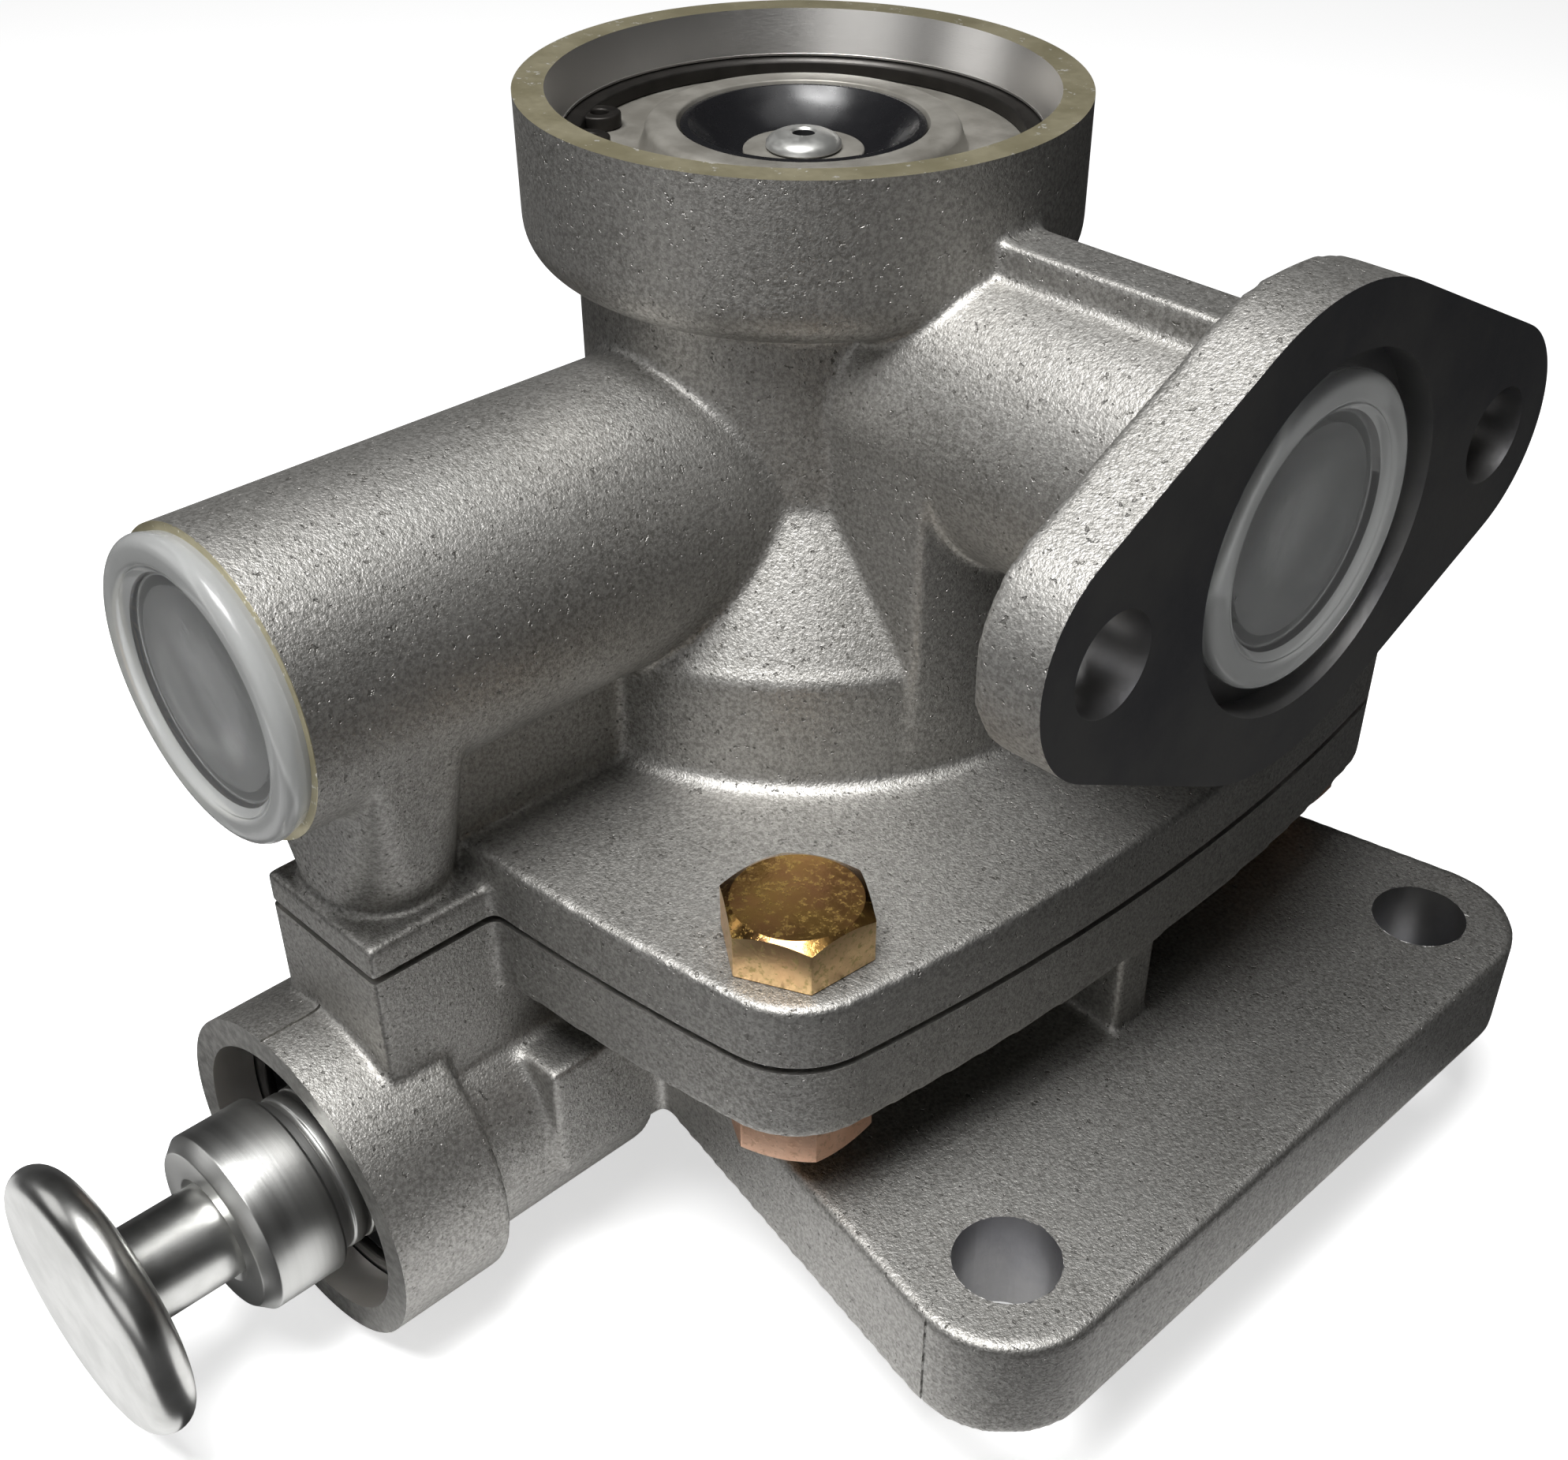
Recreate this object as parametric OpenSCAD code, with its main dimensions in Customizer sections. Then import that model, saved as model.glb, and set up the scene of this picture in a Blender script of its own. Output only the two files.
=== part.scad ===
// Trailer control valve: two aluminium castings bolted together at a square flange.
// The relay valve stands on the upright axis, with its exhaust in the cup on top.
// The emergency piston is in the lower casting, and the release valve slides in the barrel
// at the front left. Origin: on the cup's axis, in the plane of the plate's underside.
// +Z is up, +X is the port with the two-hole flange, -Y is the left port and the release knob.

/* [Mounting plate] */
// Thickness of the mounting plate
plate_t = 12.5; // [10:0.5:14]
// Distance from the axis to the pair of mounting holes
plate_hole_x = 63.7; // [62:0.1:68]
// Pitch of the pair of mounting holes
plate_hole_pitch = 71.5; // [66:0.5:76]
// Distance from the axis to the single rear mounting hole
plate_rear_x = 62; // [58:0.5:68]
// Radius of the mounting holes
plate_hole_r = 5.25; // [4.5:0.05:6]
// Radius of the plate's two front corners
plate_corner_r = 10.5; // [9:0.5:12]
// Half width of the plate's rear end
plate_rear_half = 23; // [18:0.5:26]

/* [Flange joint] */
// Height of the face where the two castings meet
split_z = 31.4; // [30:0.2:33]
// Thickness of the gasket between the castings
gasket_t = 0.8; // [0.6:0.1:1.2]
// Setback of the gasket from the flange edge
gasket_inset = 1.6; // [1:0.1:2.5]
// Half width of the flange at the middle of a side
flange_half = 52.2; // [51:0.1:54]
// Distance of each bolt from the axis, along X and along Y
bolt_offset = 39.5; // [39:0.1:40.5]
// Radius of the flange corners
flange_corner_r = 9.5; // [8.5:0.1:10]
// Thickness of the upper flange
upper_flange_t = 6.8; // [6:0.2:8]
// Thickness of the lower flange
lower_flange_t = 8.4; // [7:0.2:9]

/* [Flange bolts] */
// Nominal radius of the bolt thread
bolt_r = 4; // [3:0.5:4]
// Radial clearance of the bolt in its hole
bolt_clearance = 0.5; // [0.3:0.1:0.8]
// Width across flats of the bolt heads and nuts
bolt_af = 13; // [11:0.5:14]
// Height of the bolt heads
bolt_head_h = 5.3; // [4:0.1:6]
// Height of the nuts
nut_h = 6; // [4:0.5:6.5]
// Turn of the bolt heads about their own axes
bolt_turn = 25.5; // [0:0.5:60]
// Turn of the nuts about their own axes
nut_turn = 29.5; // [0:0.5:60]

/* [Upper casting] */
// Radius of the piston drum
drum_r = 32; // [31:0.5:34]
// Height of the drum's shoulder edge
drum_top_z = 51; // [49:0.5:53]
// Radius of the neck
neck_r = 22.4; // [21.4:0.2:23]
// Height where the sloping shoulder meets the neck
neck_z = 65; // [63:0.5:67]
// Radius of the exhaust cup
cup_r = 27.5; // [27:0.5:29]
// Height of the cup's straight wall
cup_wall_h = 11.6; // [10.5:0.1:12.5]
// Radius of the round under the cup's wall
cup_round = 4.3; // [3:0.1:4.6]
// Height of the cup rim
cup_top_z = 98.4; // [97.5:0.1:100]
// Radius of the machined bore of the cup
cup_bore_r = 23.2; // [22.6:0.1:24]

/* [Left port] */
// Height of the left port's axis
left_z = 62.4; // [61:0.2:64]
// Radius of the left port tube
left_r = 14.75; // [14:0.25:16]
// Distance from the axis to the end of the left port
left_end = 70.5; // [68:0.5:74]
// Half width of the foot under the left port
foot_r = 7; // [6:0.5:8]
// Width of the web between that foot and the drum
foot_web = 12; // [8:0.5:13]
// Distance from the axis to the front of that foot
foot_front = 65; // [63.5:0.5:66]

/* [Right port] */
// Height of the right port's axis
right_z = 74.2; // [73:0.2:76]
// Radius of the right port tube
right_r = 14; // [13:0.25:15]
// Distance from the axis to the face of the right port flange
right_face = 62.6; // [60:0.2:66]
// Thickness of the right port flange
ear_t = 6.8; // [6:0.2:9]
// Pitch of the two holes in the right port flange
ear_pitch = 56.4; // [54:0.2:60]
// Radius of the two round ends of the right port flange
ear_r = 11.2; // [9:0.1:12]
// Distance between the centres of those two rounds
ear_round_pitch = 51.4; // [50:0.2:58]
// Radius of the middle of the right port flange
ear_mid_r = 22.5; // [21:0.5:24]
// Offset of that middle from the port axis, towards the left port
ear_mid_shift = 1.2; // [0:0.1:2]
// Radius of the two holes in the right port flange
ear_hole_r = 4.65; // [4:0.05:5]
// Radius of the round recess in the right port flange
recess_r = 16.5; // [16:0.1:18]
// Depth of that recess
recess_d = 3.2; // [2:0.1:4]
// Width of the rib on top of the right port
rib_w = 5.8; // [4:0.2:8]
// Height of the top of that rib
rib_top_z = 91; // [90:0.2:92]

/* [Ports] */
// Nominal radius of the port threads
port_r = 11; // [9:0.5:11]
// Depth of the port threads
port_depth = 16; // [14:1:17]
// Radius of the air passages behind the ports
passage_r = 5; // [4:0.5:6]
// Distance from the axis to the face of the rear port
rear_port_end = 60; // [58:0.5:63]
// Radius of the rear port boss
rear_port_r = 14; // [13:0.25:15]

/* [Port caps] */
// Radius of the flange of each cap
cap_r = 14.3; // [13:0.1:14.5]
// Thickness of the flange of each cap
cap_t = 2.6; // [1.6:0.1:3]
// Radius of the dished face of each cap
cap_dish_r = 11.9; // [10.5:0.1:12.2]
// Depth of that dish
cap_dish_d = 1; // [0.5:0.1:1.2]
// Length of the plug of each cap
cap_plug = 8; // [5:0.5:9]
// Wall of the plug of each cap
cap_wall = 1.1; // [0.8:0.1:1.6]

/* [Release valve] */
// Height of the release valve's axis
release_z = 2.8; // [2.4:0.1:3.4]
// Outside radius of the release valve barrel
barrel_r = 18.7; // [18:0.1:19.5]
// Distance from the axis to the barrel's mouth
barrel_front = 73.3; // [72:0.1:75]
// Distance from the axis to the barrel's rear rim
barrel_back = 60; // [59:0.5:61]
// Radius of the barrel's wide bore
barrel_bore_r = 15.6; // [14:0.1:16]
// Distance from the axis to the floor of that bore
barrel_floor = 58; // [57.5:0.5:59]
// Radius of the bore that the spool slides in
spool_bore_r = 6; // [5:0.25:6.5]
// Distance from the axis to the face of the bushing
bushing_front = 67; // [65:0.5:69]
// Radius of the casting behind the barrel
sleeve_r = 14.6; // [14:0.1:15.5]
// Radius of the plunger's head
plunger_r = 10.15; // [9.5:0.05:11]
// Length of the plunger's head
plunger_head = 9.1; // [8:0.1:10]
// Radius of the plunger behind its head
plunger_neck_r = 8.9; // [8:0.1:9.4]
// Radius of the stem that carries the knob
stem_r = 5.2; // [4.5:0.1:6]
// Radius of the knob
knob_r = 14.9; // [13:0.1:17]
// Thickness of the knob
knob_t = 4.6; // [4:0.2:7]
// Distance from the axis to the knob's front
knob_front = 98.2; // [96:0.1:101]
// How far the knob and plunger push in
release_travel = 7; // [5:0.5:7]

/* [Relay valve] */
// Radius of the relay piston's bore
relay_bore_r = 28; // [27:0.25:28.5]
// Travel of the relay piston
relay_travel = 5.5; // [4:0.5:6]
// Radius of the supply chamber
supply_r = 16; // [15:0.25:17]
// Travel of the inlet valve
inlet_travel = 2.5; // [1.5:0.25:3]
// Radius of the raised ring of the exhaust guide
guide_ring_r = 15.3; // [14.5:0.1:16.5]
// Radius of the rubber exhaust flap
flap_r = 12.2; // [11:0.1:13]

/* [Emergency valve] */
// Radius of the emergency piston's bore
emergency_bore_r = 22; // [20:0.25:23]
// Travel of the emergency piston
emergency_travel = 4; // [3:0.5:5]

/* [Hidden] */

// Radial clearance of a sliding fit
fit = 0.05;
// Gap left between a moving piece and what it rests on or stops at
rest_gap = 0.2;
// Overlap that makes two stretches of one piece a single solid
weld = 0.5;

// Flange joint
upper_z = split_z + gasket_t;
flange_top_z = upper_z + upper_flange_t;
flange_low_z = split_z - lower_flange_t;

// Gives the points of an arc about the centre c
function arc(c, r, a0, a1, n) =
    [for (i = [0:n]) c + r * [cos(a0 + (a1 - a0) * i / n), sin(a0 + (a1 - a0) * i / n)]];

// Turns points about the origin
function turned(points, a) =
    [for (p = points) [p.x * cos(a) - p.y * sin(a), p.x * sin(a) + p.y * cos(a)]];

// Flange outline: a square with round corners whose sides are bent outward
module flange_outline(inset = 0) {
    r = flange_corner_r - inset;
    bulge = flange_half - bolt_offset - flange_corner_r;
    side_r = (bolt_offset * bolt_offset + bulge * bulge) / (2 * bulge);
    lean = asin(bolt_offset / side_r);
    side = arc([flange_half - flange_corner_r - side_r, 0], side_r + r, -lean, lean, 12);
    corner = arc([bolt_offset, bolt_offset], r, lean, 90 - lean, 8);
    quarter = concat([for (i = [1:len(side) - 2]) side[i]], corner);
    polygon([for (a = [0:90:270]) each turned(quarter, a)]);
}

// Plate outline: two front corners and a narrower rear end
module plate_outline() {
    hull() {
        for (s = [-1, 1])
            translate([plate_hole_x, s * plate_hole_pitch / 2])
                circle(plate_corner_r, $fn = 64);
        for (s = [-1, 1])
            translate([-plate_rear_x, s * (plate_rear_half - plate_corner_r)])
                circle(plate_corner_r, $fn = 64);
    }
}

// Puts its children at the four flange bolts
module at_bolts() {
    for (sx = [-1, 1])
        for (sy = [-1, 1])
            translate([sx * bolt_offset, sy * bolt_offset, 0]) children();
}

// Turns its children so that their Z runs out of the front, along -Y, at the height z
module along_front(z) {
    translate([0, 0, z]) rotate([90, 0, 0]) children();
}

// Turns its children so that their Z runs out of the rear, along +Y, at the height z
module along_rear(z) {
    translate([0, 0, z]) rotate([-90, 0, 0]) children();
}

// Turns its children so that their Z runs out of the right side, along +X, at the height z
module along_right(z) {
    translate([0, 0, z]) rotate([0, 90, 0]) children();
}

// A tube about Z from z0 to z1
module ring(r_out, r_in, z0, z1) {
    rotate_extrude($fn = 64)
        translate([r_in, z0]) square([r_out - r_in, z1 - z0]);
}

// A round cord of rubber bent into a ring
module o_ring(r, cord) {
    rotate_extrude($fn = 48) translate([r, 0]) circle(cord, $fn = 16);
}

// A wire spring between two heights
module coil_spring(r, wire, z0, z1, turns) {
    steps = 14;
    rise = z1 - z0 - 2 * wire;
    for (i = [0:turns * steps - 1])
        hull()
            for (k = [0, 1]) {
                a = 360 * (i + k) / steps;
                z = z0 + wire + rise * (i + k) / (turns * steps);
                translate([r * cos(a), r * sin(a), z])
                    rotate([90, 0, a]) cylinder(r = wire, h = 0.02, center = true, $fn = 6);
            }
}

// Heights in the cup and the guide, measured down from the rim
cup_base_z = cup_top_z - cup_wall_h;
guide_depth = 11.4;
guide_base_z = cup_top_z - guide_depth;
guide_disc_t = 5.4;
guide_disc_z = guide_base_z + guide_disc_t;
guide_ring_h = 2.4;
guide_top_z = guide_disc_z + guide_ring_h;
guide_skirt_h = 8.6;
guide_skirt_z = guide_base_z - guide_skirt_h;
valve_room = 10.4;
seat_z = guide_skirt_z - valve_room;

// Heights inside the relay valve, from the piston up to the seat
piston_z0 = split_z + rest_gap;
piston_t = 8;
seat_wall = 3.5;
chamber_top_z = piston_z0 + piston_t + relay_travel + 1.4;
delivery_r = 12;
rod_r = 6;
valve_z = seat_z + rest_gap;
valve_r = 8.6;
valve_bore_r = 4.5;
snap_t = 1.4;

// Upper casting

module upper_body_profile() {
    polygon(concat(
        [[0, upper_z + weld], [drum_r + 0.6, upper_z + weld], [drum_r + 0.6, flange_top_z]],
        arc([drum_r - 2, drum_top_z - 1], 2, 0, 55, 5),
        [[neck_r, neck_z], [neck_r, cup_base_z - cup_round]],
        arc([cup_r - cup_round, cup_base_z], cup_round, -90, 0, 9),
        [[cup_r, cup_top_z], [0, cup_top_z]]));
}

// Left port: a round tube on a web, whose end runs down to a foot on the block
module left_port_body() {
    foot_y = foot_front - foot_r;
    along_front(left_z) cylinder(r = left_r, h = left_end, $fn = 96);
    hull() {
        along_front(left_z) translate([0, 0, foot_y - 3])
            cylinder(r = left_r - 0.3, h = foot_r + 2.5, $fn = 48);
        translate([0, -foot_y, flange_top_z - 5]) cylinder(r = foot_r, h = 3, $fn = 48);
    }
    translate([-foot_web / 2, -foot_y, flange_top_z - weld])
        cube([foot_web, foot_y, left_z - flange_top_z]);
}

// Right port: a tube whose sides run down into the drum, and the flange with two ends
module right_port_body() {
    along_right(right_z) cylinder(r = right_r, h = right_face - ear_t / 2, $fn = 96);
    intersection() {
        translate([0, 0.15 - right_r, flange_top_z])
            cube([drum_r + 5, 2 * right_r - 0.3, right_z - flange_top_z]);
        cylinder(r = drum_r + 0.6, h = right_z, $fn = 96);
    }
    along_right(right_z)
        translate([0, 0, right_face - ear_t])
            linear_extrude(ear_t) ear_outline();
    translate([0, -rib_w / 2, right_z])
        cube([right_face - ear_t / 2, rib_w, rib_top_z - right_z]);
}

// Outline of the right port flange, with its long side along Y
module ear_outline() {
    hull() {
        translate([0, -ear_mid_shift]) circle(ear_mid_r, $fn = 96);
        for (s = [-1, 1]) translate([0, s * ear_round_pitch / 2]) circle(ear_r, $fn = 48);
    }
}

block_right = 10;
block_left = 7.5;
block_front = 66.2;
block_h = 3.3;

// Block at the front left that joins the two castings beside the flange
module block_outline() {
    translate([-block_left, -block_front])
        square([block_left + block_right, block_front - flange_half + 6]);
}

module upper_housing_body() {
    translate([0, 0, upper_z]) linear_extrude(upper_flange_t) flange_outline();
    rotate_extrude($fn = 128) upper_body_profile();
    left_port_body();
    right_port_body();
    translate([0, 0, upper_z]) linear_extrude(block_h) block_outline();
}

// Round chambers on the upright axis of the upper casting
module upper_chambers() {
    translate([0, 0, upper_z - 1])
        cylinder(r = relay_bore_r, h = chamber_top_z - upper_z + 1, $fn = 96);
    translate([0, 0, chamber_top_z - 1])
        cylinder(r = delivery_r, h = seat_z - seat_wall - chamber_top_z + 1, $fn = 64);
    translate([0, 0, seat_z - seat_wall - 1]) cylinder(r = valve_r - 1, h = seat_wall + 2, $fn = 64);
    translate([0, 0, seat_z]) cylinder(r = supply_r, h = guide_base_z - seat_z + 1, $fn = 64);
    translate([0, 0, guide_base_z])
        cylinder(r = cup_bore_r, h = cup_top_z - guide_base_z + 1, $fn = 96);
    translate([0, 0, guide_disc_z])
        cylinder(r = cup_bore_r + 1, h = snap_t + 0.2, $fn = 96);
    translate([0, 0, cup_top_z - 3])
        cylinder(r1 = cup_bore_r - 0.1, r2 = cup_bore_r + 1.3, h = 3.1, $fn = 96);
}

module upper_housing() {
    color("#8d8f8e")
    difference() {
        upper_housing_body();
        upper_chambers();
        // Left port, threaded at its end
        along_front(left_z)
            translate([0, 0, left_end - port_depth]) cylinder(r = port_r, h = port_depth + 1, $fn = 64);
        along_front(left_z - 4) cylinder(r = passage_r, h = left_end - 2, $fn = 32);
        // Right port, with its recess and the seat of the strainer
        along_right(right_z)
            translate([0, 0, right_face - recess_d]) cylinder(r = recess_r, h = recess_d + 1, $fn = 96);
        along_right(right_z)
            translate([0, 0, right_face - recess_d - port_depth])
                cylinder(r = port_r, h = port_depth + 1, $fn = 64);
        along_right(right_z)
            translate([0, 0, right_face - recess_d - port_depth - strainer_h])
                cylinder(r = strainer_r, h = strainer_h + 1, $fn = 64);
        along_right(right_z) cylinder(r = passage_r, h = right_face - 8, $fn = 32);
        for (s = [-1, 1])
            along_right(right_z)
                translate([0, s * ear_pitch / 2, right_face - ear_t - 1])
                    cylinder(r = ear_hole_r, h = ear_t + 2, $fn = 48);
        at_bolts() translate([0, 0, upper_z - 1])
            cylinder(r = bolt_r + bolt_clearance, h = upper_flange_t + 2, $fn = 48);
    }
}

// Lower casting

lower_drum_r = 36;
cavity_floor_z = 7;
web_half = 16.8;
web_top_z = 14.3;
web_front = 52;
plate_front = 38;
post_w = 5.5;
post_y = -1.5;
post_reach = flange_half - 0.8;
rear_port_z = 16.2;
rear_passage_z = 20.2;
rear_passage_r = 4;

// Round part of the lower casting under the flange, with a post on each side
module lower_drum() {
    h = flange_low_z - plate_t + 2 * weld;
    translate([0, 0, plate_t - weld]) cylinder(r = lower_drum_r, h = h, $fn = 96);
    translate([-post_reach, post_y - post_w / 2, plate_t - weld]) cube([2 * post_reach, post_w, h]);
}

// Release valve casting: the barrel, the round sleeve behind it, and the flat web above
module release_casting() {
    along_front(release_z)
        translate([0, 0, barrel_back]) cylinder(r = barrel_r, h = barrel_front - barrel_back, $fn = 96);
    along_front(release_z) cylinder(r = sleeve_r, h = barrel_back + 1, $fn = 96);
    translate([-web_half, -web_front, 0]) cube([2 * web_half, web_front, web_top_z]);
}

module lower_housing_body() {
    difference() {
        release_casting();
        // Behind the plate's front edge nothing hangs below its underside
        translate([-barrel_back, -plate_front, -barrel_r])
            cube([2 * barrel_back, 2 * barrel_back, barrel_r]);
    }
    linear_extrude(plate_t) plate_outline();
    lower_drum();
    translate([0, 0, flange_low_z]) linear_extrude(lower_flange_t) flange_outline();
    translate([0, 0, 10]) linear_extrude(split_z - 10) block_outline();
    along_rear(rear_port_z) cylinder(r = rear_port_r, h = rear_port_end, $fn = 96);
}

// Bores of the release valve, from its mouth inward
module release_bores() {
    along_front(release_z) {
        translate([0, 0, barrel_floor]) cylinder(r = barrel_bore_r, h = 40, $fn = 96);
        translate([0, 0, barrel_front - 1.6])
            cylinder(r1 = barrel_bore_r, r2 = barrel_bore_r + 1.7, h = 1.7, $fn = 96);
        translate([0, 0, bushing_front + rest_gap / 2])
            cylinder(r = barrel_bore_r + snap_depth, h = release_snap_t + rest_gap / 2, $fn = 96);
        translate([0, 0, neck_bore_end]) cylinder(r = neck_bore_r, h = 20, $fn = 64);
        translate([0, 0, spool_bore_end]) cylinder(r = spool_bore_r, h = 30, $fn = 48);
    }
    // Passage from the spool's bore up into the chamber of the emergency piston
    translate([0, -spool_bore_end - 4, release_z]) cylinder(r = 2, h = 15, $fn = 32);
    along_front(release_z + 15) translate([0, 0, 10]) cylinder(r = 2, h = spool_bore_end - 4, $fn = 32);
}

module lower_housing() {
    color("#868887")
    difference() {
        lower_housing_body();
        translate([0, 0, cavity_floor_z])
            cylinder(r = emergency_bore_r, h = split_z - cavity_floor_z + 1, $fn = 96);
        translate([0, 0, disc_z]) cylinder(r = disc_r, h = 10, $fn = 96);
        release_bores();
        // Rear port and its passage
        along_rear(rear_port_z)
            translate([0, 0, rear_port_end - port_depth]) cylinder(r = port_r, h = port_depth + 1, $fn = 64);
        along_rear(rear_passage_z) cylinder(r = rear_passage_r, h = rear_port_end - 2, $fn = 32);
        at_bolts() translate([0, 0, flange_low_z - 1])
            cylinder(r = bolt_r + bolt_clearance, h = lower_flange_t + 2, $fn = 48);
        // Mounting holes
        for (s = [-1, 1])
            translate([plate_hole_x, s * plate_hole_pitch / 2, -1])
                cylinder(r = plate_hole_r, h = plate_t + 2, $fn = 48);
        translate([-plate_rear_x, 0, -1]) cylinder(r = plate_hole_r, h = plate_t + 2, $fn = 48);
    }
}

// Flange joint

module housing_gasket() {
    color("#1d1d1e")
    difference() {
        translate([0, 0, split_z]) linear_extrude(gasket_t) flange_outline(gasket_inset);
        translate([0, 0, split_z - 1]) cylinder(r = relay_bore_r + 0.5, h = gasket_t + 2, $fn = 96);
        at_bolts() translate([0, 0, split_z - 1])
            cylinder(r = bolt_r + bolt_clearance, h = gasket_t + 2, $fn = 48);
    }
}

// A hexagon with its corners bevelled by a turned cone at the outer end
module hex_head(af, h) {
    intersection() {
        cylinder(d = af / cos(30), h = h, $fn = 6);
        union() {
            cylinder(d = af / cos(30) + 1, h = h - 0.9, $fn = 48);
            translate([0, 0, h - 0.9])
                cylinder(d1 = af / cos(30) + 1, d2 = af * 0.94, h = 0.9, $fn = 48);
        }
    }
}

module flange_bolts() {
    color("#b8923c")
    at_bolts() {
        translate([0, 0, flange_top_z]) rotate(bolt_turn) hex_head(bolt_af, bolt_head_h);
        translate([0, 0, flange_low_z - nut_h - 1])
            cylinder(r = bolt_r, h = flange_top_z - flange_low_z + nut_h + 1 + weld, $fn = 32);
    }
}

module flange_nuts() {
    color("#c59a80")
    at_bolts()
        difference() {
            translate([0, 0, flange_low_z]) rotate(nut_turn) mirror([0, 0, 1]) hex_head(bolt_af, nut_h);
            translate([0, 0, flange_low_z - nut_h - 1]) cylinder(r = bolt_r + fit, h = nut_h + 2, $fn = 32);
        }
}

// Exhaust end of the relay valve

guide_skirt_r = supply_r - fit;
guide_bore_r = valve_r + fit;
guide_disc_r = cup_bore_r - fit;
hub_r = 5;
washer_r = 5.9;
washer_t = 0.7;
flap_seat_h = 3.2;
flap_z = guide_base_z + flap_seat_h;
flap_t = 1.1;
flap_lip_h = 4.3;
flap_lip_z = flap_z + flap_lip_h;
washer_z = flap_z + flap_t + fit;
stud_seat_z = washer_z + washer_t + fit;
stud_head_h = 1.5;
stud_r = 3.2;
stud_foot_t = 0.7;
stud_foot_z = guide_base_z + fit - stud_foot_t;
guide_lip = 2.2;
exhaust_hole_r = 1.6;
guide_groove_h = 6;
guide_groove_z = guide_base_z - guide_groove_h;

module exhaust_guide() {
    color("#b9bab8")
    difference() {
        rotate_extrude($fn = 96)
            polygon([[valve_r + fit, guide_skirt_z], [guide_skirt_r, guide_skirt_z],
                     [guide_skirt_r, guide_base_z], [guide_disc_r, guide_base_z],
                     [guide_disc_r, guide_disc_z], [guide_ring_r + 0.4, guide_disc_z],
                     [guide_ring_r, guide_top_z - 0.5], [guide_ring_r - 0.6, guide_top_z],
                     [flap_r, guide_top_z], [flap_r - 0.4, guide_top_z - guide_lip],
                     [washer_r - 0.9, flap_z - rest_gap], [stud_hole_r, flap_z - rest_gap],
                     [stud_hole_r, guide_base_z + rest_gap], [guide_bore_r, guide_base_z + rest_gap]]);
        // Six exhaust holes under the flap
        for (a = [0:60:300])
            rotate(a) translate([(hub_r + guide_bore_r) / 2 + 0.8, 0, guide_base_z - 1])
                cylinder(r = exhaust_hole_r, h = guide_depth, $fn = 24);
        // Groove of the lower ring
        translate([0, 0, guide_groove_z]) ring(supply_r + 1, guide_skirt_r - groove_d, 0, groove_w);
    }
}

stud_hole_r = 2;
groove_d = 1.6;
groove_w = 2.4;
cord = 0.8;

module guide_o_ring() {
    color("#19191a")
    translate([0, 0, guide_groove_z + groove_w / 2]) o_ring(guide_skirt_r - cord, cord - 0.05);
}

snap_grip = 0.8;
snap_w = 2.5;

module guide_snap_ring() {
    gap = 14;
    color("#3c3c3d")
    translate([0, 0, guide_disc_z + 0.05])
        rotate(-138.5 + gap / 2)
            rotate_extrude(angle = 360 - gap, $fn = 96)
                translate([cup_bore_r + snap_grip - snap_w, 0]) square([snap_w, snap_t]);
}

module exhaust_flap() {
    color("#141415")
    rotate_extrude($fn = 96)
        polygon([[stud_hole_r + fit, flap_z], [washer_r - 1.2, flap_z],
                 [flap_r - 0.9, flap_lip_z - 1.2], [flap_r - 0.3, flap_lip_z],
                 [flap_r - 1.1, flap_lip_z + 0.2], [flap_r - 2.4, flap_lip_z - 1.1],
                 [washer_r + 0.3, flap_z + flap_t], [stud_hole_r + fit, flap_z + flap_t]]);
}

module flap_washer() {
    color("#c2c3c1")
    translate([0, 0, washer_z]) ring(washer_r, stud_hole_r + fit, 0, washer_t);
}

module flap_stud() {
    color("#c9cac9")
    difference() {
        rotate_extrude($fn = 64)
            polygon([[0, stud_foot_z], [stud_r, stud_foot_z], [stud_r, stud_foot_z + stud_foot_t],
                     [stud_hole_r - fit, stud_foot_z + stud_foot_t + fit],
                     [stud_hole_r - fit, stud_seat_z], [stud_r + 0.5, stud_seat_z],
                     [stud_r + 0.5, stud_seat_z + stud_head_h - 0.9],
                     [stud_r - 0.3, stud_seat_z + stud_head_h - 0.3],
                     [stud_r / 2, stud_seat_z + stud_head_h], [0, stud_seat_z + stud_head_h]]);
        translate([0, 0, flap_z]) cylinder(r = 1.1, h = 2 * flap_lip_h, $fn = 24);
    }
}

// Inlet valve: a sleeve that slides in the guide and carries a rubber seat

valve_flange_r = 11;
valve_headroom = 3;
valve_top_z = guide_base_z - valve_headroom;
valve_rubber_t = 1.6;
valve_flange_t = 1.4;
valve_flange_z = valve_z + valve_rubber_t;

module inlet_valve() {
    color("#c8a35a")
    rotate_extrude($fn = 64)
        polygon([[valve_bore_r, valve_flange_z], [valve_flange_r, valve_flange_z],
                 [valve_flange_r, valve_flange_z + valve_flange_t],
                 [valve_r, valve_flange_z + valve_flange_t],
                 [valve_r, valve_top_z], [valve_bore_r, valve_top_z]]);
}

module inlet_valve_rubber() {
    color("#19191a")
    rotate_extrude($fn = 64)
        polygon([[valve_bore_r + 0.3, valve_z], [valve_flange_r - 0.6, valve_z],
                 [valve_flange_r - 0.2, valve_z + 0.5], [valve_flange_r - 0.2, valve_flange_z],
                 [valve_bore_r + 0.3, valve_flange_z]]);
}

module inlet_valve_spring() {
    color("#8f9194")
    coil_spring((valve_r + valve_flange_r) / 2 + 0.2, 0.55,
                valve_flange_z + valve_flange_t + 0.1, guide_skirt_z - 0.1, 3);
}

// Relay piston

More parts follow.
